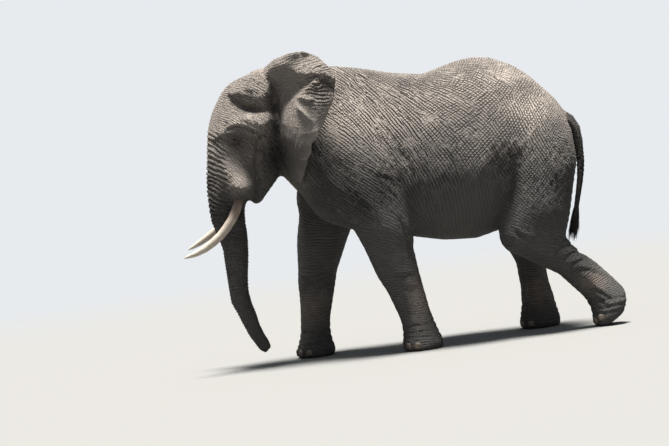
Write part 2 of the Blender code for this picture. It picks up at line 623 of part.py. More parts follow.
def ear(name, side, tree, elephant):
    """A flap made as a sheet and then drawn inwards, straight across the body, to give it a body."""
    bm = bmesh.new()
    grid, thickness = [], {}
    for root_y, root_z, rim_y, rim_z, out, belly in EAR_ROWS:
        root, _ = side_reach(tree, root_y, root_z, side)
        root_x = abs(root.x) - EAR_ROOT_DEPTH
        length = math.hypot(rim_y - root_y, rim_z - root_z)
        grid.append([])
        for i in range(EAR_COLUMNS + 1):
            u = i / EAR_COLUMNS
            along, height = root_y + (rim_y - root_y) * u, root_z + (rim_z - root_z) * u
            x = root_x + out * u**EAR_FLARE + belly * math.sin(math.pi * u)
            under, _ = side_reach(tree, along, height, side)
            if under is not None and u > 0:
                x = max(x, abs(under.x) + EAR_CLEAR * min(1, u * length / EAR_RISE))
            vert = bm.verts.new((side * x, along, height))
            thickness[tuple(vert.co)] = EAR_ROOT_THICK + (EAR_RIM_THICK - EAR_ROOT_THICK) * u
            grid[-1].append(vert)
    for upper, lower in zip(grid, grid[1:]):
        for i in range(EAR_COLUMNS):
            bm.faces.new((upper[i], lower[i], lower[i + 1], upper[i + 1]))
    drawn = bmesh.ops.extrude_face_region(bm, geom=list(bm.faces), use_keep_orig=True)["geom"]
    for vert in (item for item in drawn if isinstance(item, bmesh.types.BMVert)):
        vert.co.x -= side * thickness[tuple(vert.co)]
    bmesh.ops.recalc_face_normals(bm, faces=bm.faces)
    return object_from(name, bm, elephant)


def tapered_tube(name, centres, radii, points, collection, between=0, squash=1.0):
    """A tube round a line of centres, with rounded ends and an upright-to-level ratio."""
    rows = curve_through([(*c, r) for c, r in zip(centres, radii)], between)
    rings = []
    for i, row in enumerate(rows):
        here = Vector(row[:3])
        way = Vector(rows[min(i + 1, len(rows) - 1)][:3]) - Vector(rows[max(i - 1, 0)][:3])
        way.normalize()
        level = way.cross(Vector((1, 0, 0))).normalized()
        across = level.cross(way).normalized()
        radius = float(row[3])
        rings.append([here + (across * math.cos(a) * squash + level * math.sin(a)) * radius
                      for a in (2 * math.pi * k / points for k in range(points))])
    return loft(name, rings, collection)


def nail(name, hit, normal, down, collection):
    """A low oval shield set on the skin of a toe, its length running down the foot."""
    across = down.cross(normal).normalized()
    along = normal.cross(across).normalized()
    bm = bmesh.new()
    bmesh.ops.create_uvsphere(bm, u_segments=8, v_segments=4, radius=1)
    turn = Matrix((across, along, normal)).transposed().to_4x4()
    scale = Matrix.Diagonal((NAIL_WIDTH / 2, NAIL_LENGTH / 2, NAIL_DEPTH, 1))
    bmesh.ops.transform(bm, matrix=Matrix.Translation(hit) @ turn @ scale, verts=bm.verts)
    bmesh.ops.recalc_face_normals(bm, faces=bm.faces)
    return object_from(name, bm, collection)


def eye(name, side, tree, elephant):
    hit, _ = side_reach(tree, EYE_ALONG, EYE_HEIGHT, side)
    bm = bmesh.new()
    bmesh.ops.create_uvsphere(bm, u_segments=10, v_segments=7, radius=EYE_RADIUS)
    centre = hit - Vector((side * EYE_DEPTH, 0, 0))
    bmesh.ops.translate(bm, vec=centre, verts=bm.verts)
    return object_from(name, bm, elephant)


def main():
    clear_scene()
    workshop = collection_named("workshop", hidden=True)
    elephant = collection_named("elephant")
    hide = material_named("grey_hide", GREY_HIDE, 0.75)
    ivory = material_named("ivory", PALE_IVORY, 0.35)
    horn = material_named("toenail_horn", HORN_NAIL, 0.5)
    eye_dark = material_named("eye_dark", DARK_EYE, 0.08)
    hair = material_named("tail_hair", BLACK_HAIR, 0.5)

    flesh = melted_flesh(workshop)
    tree = search_tree(flesh)
    thin_out(flesh)
    thin_tree = search_tree(flesh)
    parts = parted(flesh, workshop, elephant)

    fitted = []
    for side, word in ((1, "left"), (-1, "right")):
        centres = [(side * x, y, z) for x, y, z in (TUSK_LEFT if side > 0 else TUSK_RIGHT)]
        tusk = tapered_tube(f"tusk_{word}", centres, TUSK_RADII, TUSK_SIDES, elephant)
        let_in(parts["head"], tusk, workshop)
        fitted.append((tusk, ivory))
        ball = eye(f"eye_{word}", side, thin_tree, elephant)
        let_in(parts["head"], ball, workshop)
        fitted.append((ball, eye_dark))
        flap = ear(f"ear_{word}", side, tree, elephant)
        let_in(parts["head"], flap, workshop)
        fitted.append((flap, hide))
    tail = tapered_tube("tail", TAIL, TAIL_RADII, TAIL_SIDES, elephant, squash=TAIL_FLATNESS)
    let_in(parts["hindquarters"], tail, workshop)
    tuft = tapered_tube("tail_tuft", TUFT, TUFT_RADII, TAIL_SIDES, elephant, squash=TUFT_FLATNESS)
    let_in(tuft, tail, workshop)
    fitted += [(tail, hide), (tuft, hair)]

    for foot, centre, forward, down, angles in FEET:
        forward, down = Vector(forward).normalized(), Vector(down).normalized()
        sideways = down.cross(forward)
        for number, angle in enumerate(angles, 1):
            turn = math.radians(angle)
            way = forward * math.cos(turn) + sideways * math.sin(turn)
            start = Vector(centre) + way * NAIL_SEARCH
            hit, normal, _, _ = thin_tree.ray_cast(start, -way)
            shield = nail(f"nail_{foot}_{number}", hit, normal, down, elephant)
            let_in(parts[foot], shield, workshop)
            fitted.append((shield, horn))

    for name, piece in parts.items():
        shells = keep_largest_shell(piece)
        piece.data.materials.clear()
        piece.data.materials.append(hide)
        if shells > 1:
            print(name, "had", shells, "shells")
    for piece, material in fitted:
        keep_largest_shell(piece)
        piece.data.materials.clear()
        piece.data.materials.append(material)
    centre_on_floor(list(elephant.objects))


def centre_on_floor(things):
    """Moves all the objects together, so that the middle of their box stands over the origin."""
    for thing in things:
        thing.data.shade_smooth()
        thing.data.set_sharp_from_angle(angle=math.radians(SHARP_ANGLE))
    places = np.concatenate([points_of(thing.data) for thing in things])
    low, high = places.min(0), places.max(0)
    move = Matrix.Translation((-(low[0] + high[0]) / 2, -(low[1] + high[1]) / 2, -low[2]))
    for thing in things:
        thing.data.transform(move)
        thing.data.update()


main()
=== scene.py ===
# %% [markdown]
# # A walking African bush elephant
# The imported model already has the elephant's size, stance and solids. This lesson dresses it:
# one continuous skin over all the flesh, folds and wrinkles in the hide, lids round the eyes,
# ivory, toenails and hair. The nose points along -Y, the left flank is +X, the soles are at z = 0.
# %% Load the frame
import math
import random

import bpy
import numpy as np
from mathutils import Matrix, Vector


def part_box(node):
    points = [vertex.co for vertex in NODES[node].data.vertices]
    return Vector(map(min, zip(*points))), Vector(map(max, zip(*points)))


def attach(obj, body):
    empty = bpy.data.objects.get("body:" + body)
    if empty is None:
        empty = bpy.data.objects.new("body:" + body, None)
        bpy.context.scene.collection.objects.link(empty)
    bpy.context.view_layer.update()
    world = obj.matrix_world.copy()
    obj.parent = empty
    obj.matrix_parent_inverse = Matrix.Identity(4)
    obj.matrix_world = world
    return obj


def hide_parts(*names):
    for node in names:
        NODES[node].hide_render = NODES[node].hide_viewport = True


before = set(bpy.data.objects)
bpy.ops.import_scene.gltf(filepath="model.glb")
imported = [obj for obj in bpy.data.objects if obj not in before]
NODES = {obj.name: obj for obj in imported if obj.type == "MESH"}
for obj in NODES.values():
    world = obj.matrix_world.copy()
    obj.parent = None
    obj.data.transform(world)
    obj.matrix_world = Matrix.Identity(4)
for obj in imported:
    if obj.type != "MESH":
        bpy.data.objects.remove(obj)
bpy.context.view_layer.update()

# %% [markdown]
# ## The camera
# A long lens far off on the left side shows the animal almost without perspective, which is how
# large animals are usually watched. The camera stands on sloping ground, so it is rolled a
# little. An empty could be used as a target, but two angles and a distance are easier to read.
# %% Camera
CAMERA_LENS = 97.0
CAMERA_DISTANCE = 20.0
CAMERA_AIM = Vector((0.0, -0.687, 1.479))   # the point in the middle plane that it looks at
CAMERA_PITCH = math.radians(1.5)            # looking down by this much
CAMERA_ROLL = math.radians(7.5)

camera_data = bpy.data.cameras.new("camera")
camera_data.lens = CAMERA_LENS
camera = bpy.data.objects.new("camera", camera_data)
bpy.context.scene.collection.objects.link(camera)
back = Vector((math.cos(CAMERA_PITCH), 0, math.sin(CAMERA_PITCH)))
camera.location = CAMERA_AIM + back * CAMERA_DISTANCE
upright = (-back).to_track_quat("-Z", "Y").to_matrix().to_4x4()
camera.matrix_world = Matrix.Translation(camera.location) @ upright @ Matrix.Rotation(-CAMERA_ROLL, 4, "Z")
bpy.context.scene.camera = camera
print("camera stands", round(camera.location.z, 2), "m above the floor")

# %% [markdown]
# ## One body of flesh
# The solids are cut apart with saw cuts less than a millimetre wide, but an animal has one skin.
# The cuts could be stitched by hand, edge by edge. It is quicker to copy the pieces, join the
# copies and cast a new surface over them with a voxel remesh: its grain is far coarser than the
# cuts, so they disappear. Each copy first gets a vertex group with its own name, because those
# groups will tell later which part of the new skin is ear, trunk or foot.
# %% Join copies of the flesh
TRUNK = ("trunk_upper", "trunk_middle", "trunk_lower", "trunk_tip")
EARS = ("ear_left", "ear_right")
FEET = ("forefoot_left", "forefoot_right", "hindfoot_left", "hindfoot_right")
LEGS = ("foreleg_left_upper", "foreleg_left_lower", "foreleg_right_upper", "foreleg_right_lower",
        "thigh_left", "shank_left", "thigh_right", "shank_right")
FLESH = ("head", "lower_jaw", "neck", "forequarters", "barrel", "hindquarters", "tail",
         *TRUNK, *EARS, *LEGS, *FEET)


def only(thing):
    """Makes this the one selected and active object."""
    bpy.ops.object.select_all(action="DESELECT")
    thing.select_set(True)
    bpy.context.view_layer.objects.active = thing


def copied(node, name):
    """A copy of a solid with its loose triangles merged into one surface."""
    copy = bpy.data.objects.new(name, NODES[node].data.copy())
    bpy.context.scene.collection.objects.link(copy)
    copy.data.materials.clear()
    only(copy)
    bpy.ops.object.mode_set(mode="EDIT")
    bpy.ops.mesh.select_all(action="SELECT")
    bpy.ops.mesh.remove_doubles(threshold=0.00005)
    bpy.ops.object.mode_set(mode="OBJECT")
    return copy


copies = []
for node in FLESH:
    piece = copied(node, node)
    group = piece.vertex_groups.new(name=node)
    group.add(list(range(len(piece.data.vertices))), 1.0, "REPLACE")
    copies.append(piece)
bpy.ops.object.select_all(action="DESELECT")
for piece in copies:
    piece.select_set(True)
bpy.context.view_layer.objects.active = copies[0]
bpy.ops.object.join()
flesh = bpy.context.view_layer.objects.active
flesh.name = "flesh"
print("flesh:", len(flesh.data.polygons), "triangles in", len(FLESH), "pieces")

# %% [markdown]
# ## Cast the skin
# The Remesh modifier lays an even net of small quads over the joined flesh. Data Transfer then
# copies the vertex groups across, so that the skin knows its own regions, and Smooth takes the
# facets of the solids away. Thin parts lose their shape in too much smoothing, so the ears and
# the tail get less of it through a vertex group.
# %% Cast the skin over the flesh
SKIN_GRAIN = 0.010


def apply_modifier(thing, kind, **settings):
    """Adds a modifier with these settings and applies it at once."""
    only(thing)
    made = thing.modifiers.new(kind.lower(), kind)
    for key, value in settings.items():
        setattr(made, key, value)
    bpy.ops.object.modifier_apply(modifier=made.name)


skin = bpy.data.objects.new("skin", flesh.data.copy())
bpy.context.scene.collection.objects.link(skin)
apply_modifier(skin, "REMESH", mode="VOXEL", voxel_size=SKIN_GRAIN)
for node in FLESH:
    skin.vertex_groups.new(name=node)
apply_modifier(skin, "DATA_TRANSFER", object=flesh, use_vert_data=True,
               data_types_verts={"VGROUP_WEIGHTS"}, vert_mapping="POLYINTERP_NEAREST",
               layers_vgroup_select_src="ALL", layers_vgroup_select_dst="NAME")
bpy.data.objects.remove(flesh)
print("skin:", len(skin.data.vertices), "points")

# %% [markdown]
# ## Regions as numbers
# Sculpting by hand works with brushes and masks. In code a mask is an array with one number per
# point. The vertex groups are read once into such arrays and blurred along the edges of the
# mesh, so that one region passes softly into the next.
# %% Read the regions
def vector_array(thing, what):
    """Every point's place ("co") or its normal ("normal"), as rows of three numbers."""
    found = np.empty(len(thing.data.vertices) * 3, np.float32)
    thing.data.vertices.foreach_get(what, found)
    return found.reshape(-1, 3).astype(float)


def set_places(thing, places):
    """Moves every point of the mesh to its place."""
    thing.data.vertices.foreach_set("co", places.astype(np.float32).ravel())
    thing.data.update()


def edges_of(thing):
    """The two point numbers of every edge."""
    found = np.empty(len(thing.data.edges) * 2, np.int32)
    thing.data.edges.foreach_get("vertices", found)
    return found.reshape(-1, 2)


def blurred(values, edges, rounds):
    """The values averaged with their neighbours, again and again."""
    count = np.bincount(edges.ravel(), minlength=len(values))
    for _ in range(rounds):
        total = np.bincount(edges[:, 0], values[edges[:, 1]], len(values))
        total += np.bincount(edges[:, 1], values[edges[:, 0]], len(values))
        values = (values + total / np.maximum(count, 1)) / 2
    return values


def read_regions(thing):
    """Every vertex group as one number per point, by the group's name."""
    names = [group.name for group in thing.vertex_groups]
    found = np.zeros((len(names), len(thing.data.vertices)))
    for vertex in thing.data.vertices:
        for held in vertex.groups:
            found[held.group, vertex.index] = held.weight
    return dict(zip(names, found))


REGION_BLUR = 10
edges = edges_of(skin)
regions = read_regions(skin)


def region(*names):
    """These regions together, with soft borders."""
    return blurred(np.clip(sum(regions[name] for name in names), 0, 1), edges, REGION_BLUR)


ears, trunk, tail, feet = region(*EARS), region(*TRUNK), region("tail"), region(*FEET)
print("ear points:", int((ears > 0.5).sum()), "trunk points:", int((trunk > 0.5).sum()))

# %% Smooth the facets away
SMOOTH_ROUNDS = 90
EAR_SMOOTHING, TAIL_SMOOTHING, TRUNK_SMOOTHING = 0.12, 0.04, 0.25
PAINT_STEPS = 20


def paint_group(thing, name, values):
    """Writes values from 0 to 1 into a vertex group, in a few even steps."""
    group = thing.vertex_groups.new(name=name)
    steps = np.round(np.clip(values, 0, 1) * PAINT_STEPS).astype(int)
    for step in range(PAINT_STEPS + 1):
        group.add(np.flatnonzero(steps == step).tolist(), step / PAINT_STEPS, "REPLACE")


smoothing = 1 - (1 - EAR_SMOOTHING) * ears - (1 - TAIL_SMOOTHING) * tail - (1 - TRUNK_SMOOTHING) * trunk
paint_group(skin, "smoothing", smoothing)
apply_modifier(skin, "SMOOTH", factor=0.5, iterations=SMOOTH_ROUNDS, vertex_group="smoothing")
print("smoothed", SMOOTH_ROUNDS, "times, ears at", EAR_SMOOTHING, "of full strength")

# %% [markdown]
# ## Broad forms
# A sculptor starts with big soft strokes. Each stroke here is a bell: it lifts the skin along its
# own normal, or sinks it, most at its centre and fading over its reach in x, y and z. Strokes are
# given for the left flank and mirrored, because an elephant is the same on both sides.
# %% Bells
BELLS = (
    # centre x, y, z              reach x, y, z           lift
    ((0.27, -1.41, 3.090), (0.16, 0.13, 0.08), 0.024),   # temple, swollen
    ((0.30, -1.38, 2.830), (0.16, 0.13, 0.050), -0.020),  # hollow under it
    ((0.34, -1.60, 2.560), (0.14, 0.16, 0.050), -0.022),  # under the brow
    ((0.34, -1.60, 2.400), (0.14, 0.14, 0.080), -0.012),  # below the eye
    ((0.00, -1.45, 3.260), (0.35, 0.17, 0.12), -0.026),  # forehead, drawn in
    ((0.34, -1.42, 2.330), (0.16, 0.05, 0.180), 0.012),  # cheek
    ((0.30, -1.60, 1.980), (0.16, 0.12, 0.130), 0.050),  # root of the tusk
    ((0.30, -1.22, 2.350), (0.25, 0.10, 0.260), -0.016),  # behind the jaw
    ((0.45, -0.40, 2.560), (0.25, 0.09, 0.300), 0.022),  # shoulder blade
    ((0.50, 0.02, 2.250), (0.30, 0.11, 0.300), 0.016),   # muscle before the shoulder crease
    ((0.55, 1.30, 2.880), (0.25, 0.15, 0.090), 0.012),   # hip bone
    ((0.60, 1.08, 2.600), (0.25, 0.16, 0.220), -0.009),  # hollow before the hip
    ((0.60, 1.16, 1.850), (0.30, 0.09, 0.350), -0.012),  # groove between belly and thigh
    ((0.60, 1.55, 1.750), (0.30, 0.16, 0.350), 0.016),   # thigh
    ((0.55, 1.56, 1.360), (0.30, 0.17, 0.220), 0.034),   # the thigh over the knee
    ((0.30, 0.20, 3.120), (0.30, 0.30, 0.080), -0.008),  # beside the spine
)


def bell(points, centre, reach):
    """1 at the centre, fading to nothing over about twice the reach."""
    return np.exp(-(((points - centre) / reach) ** 2).sum(1))


def push(amounts):
    """Moves the skin along its normals."""
    set_places(skin, vector_array(skin, "co") + vector_array(skin, "normal") * amounts[:, None])


def folded_over(places):
    """The places with the right flank laid over the left one."""
    return places * np.where(places[:, :1] < 0, (-1, 1, 1), (1, 1, 1))


body_only = 1 - ears
points = folded_over(vector_array(skin, "co"))
lift = sum(amount * bell(points, centre, reach) for centre, reach, amount in BELLS)
push(lift * body_only)
print("deepest and highest broad stroke:", lift.min().round(3), lift.max().round(3))

# %% [markdown]
# ## Lines in the side view
# Folds follow lines. A line is a few points given in the side view (y, z), made smooth
# by a spline. For every point of the skin near it the code works out how far it is from the line
# and on which side. A groove sinks the skin on the line and can raise a lip on one side of it.
# %% Tools for lines
LINE_STEPS = 5


def smooth_line(line):
    """Extra points between the given ones, on a Catmull-Rom spline."""
    rows = np.array(line, float)
    rows = np.vstack((2 * rows[0] - rows[1], rows, 2 * rows[-1] - rows[-2]))
    found = []
    for a, b, c, d in zip(rows, rows[1:], rows[2:], rows[3:]):
        for t in np.arange(LINE_STEPS) / LINE_STEPS:
            found.append(0.5 * (2 * b + (c - a) * t + (2 * a - 5 * b + 4 * c - d) * t**2
                                + (3 * b - a - 3 * c + d) * t**3))
    return np.array([*found, rows[-2]])


def beside(flat, line):
    """How far each (y, z) lies to the left of the line, or right (negative), and how far along."""
    line = smooth_line(line)
    nearest = np.full(len(flat), np.inf)
    side, along = np.zeros(len(flat)), np.zeros(len(flat))
    for i, (start, end) in enumerate(zip(line, line[1:])):
        step = end - start
        share = np.clip((flat - start) @ step / (step @ step), 0, 1)
        off = flat - start - share[:, None] * step
        distance = np.hypot(off[:, 0], off[:, 1])
        closer = distance < nearest
        nearest[closer] = distance[closer]
        side[closer] = np.sign(step[0] * off[closer, 1] - step[1] * off[closer, 0])
        along[closer] = (i + share[closer]) / (len(line) - 1)
    return nearest * np.where(side == 0, 1, side), along


def near_line(places, line, margin):
    """The numbers of the points that lie within a margin of the line's box in the side view."""
    low, high = np.min(line, axis=0) - margin, np.max(line, axis=0) + margin
    return np.flatnonzero(((places[:, 1:] > low) & (places[:, 1:] < high)).all(1))


def groove(places, line, width, depth, lip=0.0, open_ends=False):
    """The lift of one fold: a valley on the line, and a rounded lip on its left side."""
    chosen = near_line(places, line, 4 * width)
    side, along = beside(places[chosen][:, 1:], line)
    taper = 1 if open_ends else np.sin(math.pi * np.clip(along, 0.02, 0.98)) ** 0.6
    made = np.zeros(len(places))
    valley = np.exp(-(side / width) ** 2)
    ridge = np.exp(-((side - 1.8 * width) / (1.1 * width)) ** 2)
    made[chosen] = (lip * ridge - depth * valley) * taper
    return made


# %% [markdown]
# ## Irregular numbers
# Even folds look machine-made, so depths and places are varied by numbers that look random. They
# come from arithmetic on the cell that a point lies in, so every run makes the same elephant. The
# mottle blends the numbers of neighbouring cells into a smooth cloud.
# %% Irregular numbers
def lattice(cells, seed):
    """A fixed pseudo-random number from 0 to 1 for every whole-numbered cell."""
    x, y, z = (cells[:, i].astype(np.int64) for i in range(3))
    mixed = (x * 73856093) ^ (y * 19349663) ^ (z * 83492791) ^ (seed * 2654435761)
    mixed = ((mixed ^ (mixed >> 15)) * 2246822519) & 0xFFFFFFFF
    mixed = ((mixed ^ (mixed >> 13)) * 3266489917) & 0xFFFFFFFF
    return ((mixed ^ (mixed >> 16)) & 0xFFFFFF) / 0xFFFFFF


def mottle(places, size, seed):
    """Smooth noise from -1 to 1 whose spots are about this size."""
    scaled = places / size
    base = np.floor(scaled)
    t = scaled - base
    t = t * t * (3 - 2 * t)
    total = 0
    for corner in np.ndindex(2, 2, 2):
        share = np.prod(np.where(corner, t, 1 - t), axis=1)
        total = total + share * lattice(base + corner, seed)
    return total * 2 - 1


def ridges(turns):
    """Rounded ridges with sharp valleys between them, from 0 to 1, one for each whole turn."""
    return np.sin(math.pi * np.abs((turns % 1) - 0.5)) ** 0.75


# %% [markdown]
# ## Folds of the head, neck and shoulder
# These are the large creases: between head and neck, over the eye, under the cheek, and where the
# shoulder slides under the skin. Each is a line in the side view with a width and a depth. A lip
# of lifted skin on one side of it makes it read as a fold and not as a scratch.
# %% Folds of the head, neck and shoulder
FOLDS = (
    # line in (y, z), width, depth, lip on the left of the line's way
    (((-1.37, 2.58), (-1.40, 2.46), (-1.45, 2.30), (-1.47, 2.14), (-1.52, 1.99)), 0.020, 0.030, -0.010),
    (((-1.31, 2.56), (-1.33, 2.40), (-1.35, 2.22), (-1.38, 2.06)), 0.016, 0.012, 0.004),
    (((-1.25, 2.70), (-1.25, 2.50), (-1.24, 2.30), (-1.22, 2.10)), 0.016, 0.011, 0.004),
    (((-1.18, 2.50), (-1.16, 2.32), (-1.12, 2.12)), 0.016, 0.010, 0.004),
    (((-1.09, 2.40), (-1.06, 2.25), (-1.00, 2.08)), 0.016, 0.009, 0.004),
    (((-1.75, 2.62), (-1.62, 2.670), (-1.50, 2.64), (-1.40, 2.57)), 0.016, 0.012, 0.008),
    (((-1.75, 2.58), (-1.70, 2.46), (-1.60, 2.42)), 0.010, 0.004, 0.003),
    (((-1.68, 3.05), (-1.64, 2.98), (-1.56, 2.92), (-1.49, 2.87), (-1.41, 2.84), (-1.32, 2.81), (-1.20, 2.79),
      (-1.06, 2.80)), 0.038, 0.036, 0.0),
    (((-0.36, 3.07), (-0.20, 2.93), (-0.09, 2.73), (-0.01, 2.50), (0.07, 2.29), (0.15, 2.10),
      (0.20, 1.93), (0.20, 1.73), (0.19, 1.51)), 0.026, 0.014, 0.0),
    (((-0.05, 2.89), (0.10, 2.66), (0.22, 2.40), (0.29, 2.21), (0.31, 2.02)), 0.024, 0.006, 0.0),
    (((-0.20, 2.60), (-0.08, 2.38), (0.02, 2.15), (0.06, 1.95)), 0.018, 0.009, 0.0),
    (((-0.30, 2.36), (-0.18, 2.18), (-0.05, 2.04), (0.08, 1.93)), 0.018, 0.009, 0.0),
    (((-0.42, 2.16), (-0.28, 2.02), (-0.12, 1.92), (0.04, 1.86)), 0.018, 0.008, 0.0),
    (((1.27, 2.30), (1.28, 2.00), (1.28, 1.70), (1.24, 1.40), (1.17, 1.15)), 0.035, 0.014, 0.0),
    (((1.12, 2.10), (1.13, 1.80), (1.08, 1.50)), 0.030, 0.007, 0.0),
)
points = folded_over(vector_array(skin, "co"))
lift = sum(groove(points, *fold) for fold in FOLDS)
push(lift * body_only)
print("folds:", len(FOLDS), "deepest", lift.min().round(3))

# %% [markdown]
# ## Folds of the legs
# The legs stand side by side, so a fold drawn in the side view would run through both of a pair.
# Each line here is kept to one side of the body. The loose skin breaks into folds behind the knee,
# over the kneecap, under the elbow, at the wrist and above the feet.
# %% Folds of the legs
LEFT, RIGHT = 1, -1
LEG_FOLDS = (
    # side, line in (y, z), width, depth, lip
    (LEFT, ((1.62, 0.86), (1.70, 0.91), (1.80, 0.93), (1.90, 0.92)), 0.016, 0.012, 0.006),  # back of knee
    (LEFT, ((1.67, 0.76), (1.77, 0.82), (1.87, 0.84), (1.96, 0.82)), 0.016, 0.013, 0.006),
    (LEFT, ((1.74, 0.68), (1.84, 0.73), (1.96, 0.75), (2.04, 0.71)), 0.015, 0.011, 0.005),
    (LEFT, ((1.66, 0.62), (1.80, 0.64), (1.95, 0.64), (2.13, 0.54), (2.26, 0.43)), 0.020, 0.010, 0.005),
    (LEFT, ((1.92, 0.46), (2.06, 0.38), (2.17, 0.28)), 0.018, 0.010, 0.005),
    (LEFT, ((1.98, 0.36), (2.08, 0.27), (2.12, 0.18)), 0.016, 0.008, 0.004),
    (LEFT, ((1.16, 1.24), (1.26, 1.12), (1.38, 1.04), (1.52, 1.00)), 0.022, 0.012, 0.006),  # kneecap
    (LEFT, ((0.02, 1.46), (0.03, 1.38), (0.07, 1.23), (0.12, 1.07)), 0.020, 0.014, 0.006),  # elbow
    (LEFT, ((0.10, 1.36), (0.13, 1.27), (0.18, 1.18)), 0.016, 0.010, 0.004),
    (LEFT, ((-0.14, 0.86), (-0.02, 0.83), (0.12, 0.86)), 0.018, 0.007, 0.004),               # wrist
    (LEFT, ((-0.08, 0.72), (0.04, 0.69), (0.18, 0.72)), 0.018, 0.006, 0.004),
    (RIGHT, ((-1.14, 0.90), (-1.00, 0.87), (-0.86, 0.90)), 0.018, 0.008, 0.004),
    (RIGHT, ((-1.12, 0.78), (-0.99, 0.75), (-0.87, 0.78)), 0.018, 0.007, 0.004),
    (RIGHT, ((1.26, 0.98), (1.40, 0.92), (1.56, 0.98)), 0.020, 0.010, 0.005),
    (RIGHT, ((1.34, 0.62), (1.48, 0.58), (1.60, 0.62)), 0.018, 0.008, 0.004),
)
ANKLE_LEVELS, ANKLE_WIDTH, ANKLE_DEPTH = (0.155, 0.215, 0.290), 0.014, 0.007
ANKLE_WAVER, ANKLE_SPOTS = 0.018, 0.13      # the rings round an ankle aren't quite level

places = vector_array(skin, "co")
lift = np.zeros(len(places))
for side, *fold in LEG_FOLDS:
    lift += groove(places, *fold) * (places[:, 0] * side > 0)
foot_zone = region(*FEET, "foreleg_left_lower", "foreleg_right_lower", "shank_left", "shank_right")
uneven = places[:, 2] + ANKLE_WAVER * mottle(places, ANKLE_SPOTS, 31)
for level in ANKLE_LEVELS:
    lift -= ANKLE_DEPTH * np.exp(-((uneven - level) / ANKLE_WIDTH) ** 2) * foot_zone
push(lift)
print("leg folds:", len(LEG_FOLDS), "and", len(ANKLE_LEVELS), "round each ankle")

# %% [markdown]
# ## Shelves of the face
# Under the brow, under the temple and round the root of the tusk the skin doesn't sink into a
# groove, it overhangs: it swells towards an edge and drops there. Light from above makes such an
# edge the strongest line of a face. One line and a step across it make each shelf: on the line's
# left the skin is raised, most at the edge, and on its right it stays.
# %% Brow, temple and the sleeve of the tusk
SHELVES = (
    # line in (y, z), height, softness of the edge, how far the swelling reaches
    (((-1.80, 2.58), (-1.74, 2.595), (-1.67, 2.580), (-1.57, 2.555), (-1.49, 2.535), (-1.41, 2.52),
      (-1.33, 2.57), (-1.26, 2.66), (-1.25, 2.76)), 0.058, 0.010, 0.11),
    (((-1.67, 3.07), (-1.62, 3.02), (-1.53, 2.98), (-1.47, 2.92), (-1.41, 2.895), (-1.35, 2.895),
      (-1.28, 2.92), (-1.235, 2.99), (-1.22, 3.08)), 0.036, 0.018, 0.12),
    (((-1.60, 1.83), (-1.52, 1.89), (-1.495, 1.99), (-1.515, 2.09), (-1.56, 2.17), (-1.63, 2.215),
      (-1.71, 2.23), (-1.765, 2.28), (-1.81, 2.35)), 0.060, 0.026, 0.17),
)
CHEEK_START, CHEEK_BLEND = 0.12, 0.06   # nearer the middle plane the face has no shelves


def step_up(side, edge):
    """0 on the right of a line and 1 on its left, with an edge this soft."""
    return 1 / (1 + np.exp(-np.clip(side / edge, -30, 30)))


for line, rise, softness, fade in SHELVES:
    points = folded_over(vector_array(skin, "co"))
    chosen = near_line(points, line, 3 * fade)
    side, along = beside(points[chosen][:, 1:], line)
    taper = np.sin(math.pi * np.clip(along, 0.03, 0.97)) ** 0.5
    lift = np.zeros(len(points))
    lift[chosen] = rise * taper * step_up(side, softness) * np.exp(-np.abs(side) / fade)
    outer_cheek = np.clip((points[:, 0] - CHEEK_START) / CHEEK_BLEND, 0, 1)
    push(lift * outer_cheek * body_only)
    print("shelf raised by", lift.max().round(3))

# %% [markdown]
# ## The ears
# An ear is a thin sheet, so a dent in its outer face is a bump in its inner face. Both faces are
# therefore moved together, straight sideways, by one height map in the side view: a rolled band
# along the top, a deep bowl under it, a shelf where the lower flap begins, tongues of thicker
# skin, and the crumpled rear margin.
# %% Lines of the ear
BAND = ((-1.24, 3.14), (-1.12, 3.22), (-1.00, 3.24), (-0.90, 3.15), (-0.78, 3.11), (-0.62, 3.09),
        (-0.47, 3.00))
SHELF = ((-0.74, 3.03), (-0.86, 2.94), (-0.97, 2.87), (-1.06, 2.78), (-1.11, 2.62), (-1.10, 2.48))
GAP = ((-1.15, 3.10), (-1.18, 2.96), (-1.188, 2.82), (-1.195, 2.69), (-1.205, 2.52), (-1.205, 2.36),
       (-1.19, 2.19))
GAP_WIDTH, GAP_DEPTH = 0.048, 0.080
EAR_PRESSES = (
    # centre y, z     reach y, z     depth
    ((-0.99, 3.08), (0.13, 0.13), 0.034),
    ((-1.02, 2.93), (0.08, 0.15), 0.034),
    ((-1.15, 2.68), (0.055, 0.20), 0.050),
    ((-1.12, 2.80), (0.08, 0.12), 0.050),
)
BAND_RISE, BAND_FALL, BAND_REACH, BAND_EDGE = 0.046, 0.62, 0.22, 0.010
SHELF_RISE, SHELF_EDGE, SHELF_FADE = 0.048, 0.008, 0.10
FLAP = ((-0.66, 3.08), (-0.57, 3.03), (-0.51, 2.96), (-0.48, 2.88))
FLAP_DEPTH, FLAP_SHIFT, FLAP_WIDTH = 0.034, 0.016, 0.022
TONGUES = (((-0.96, 2.85), (-0.88, 2.73), (-0.76, 2.58)), ((-0.92, 2.90), (-0.81, 2.86), (-0.70, 2.82)))
TONGUE_RISE, TONGUE_WIDTH = 0.030, 0.026
FLAP_PLACE, FLAP_REACH = (-0.55, 2.98), (0.11, 0.12)
TOP_PLACE, TOP_REACH = (-0.72, 3.17), (0.24, 0.10)
CROWN_PLACE, CROWN_REACH = (0.24, -1.19, 3.21), (0.30, 0.13, 0.12)
EAR_MARGIN, EAR_MARGIN_REACH = (-0.66, 2.92), (0.15, 0.17)
MARGIN_FOLD, MARGIN_SPACING = 0.024, 0.042
TOP_FOLD, TOP_SPACING = 0.010, 0.055
EAR_TOP, EAR_TOP_REACH, EAR_TOP_DROP = (-1.04, 3.38), (0.20, 0.10), 0.020
CROWN_ROUNDS = 60       # blurring that melts the front of each ear into the crown of the head
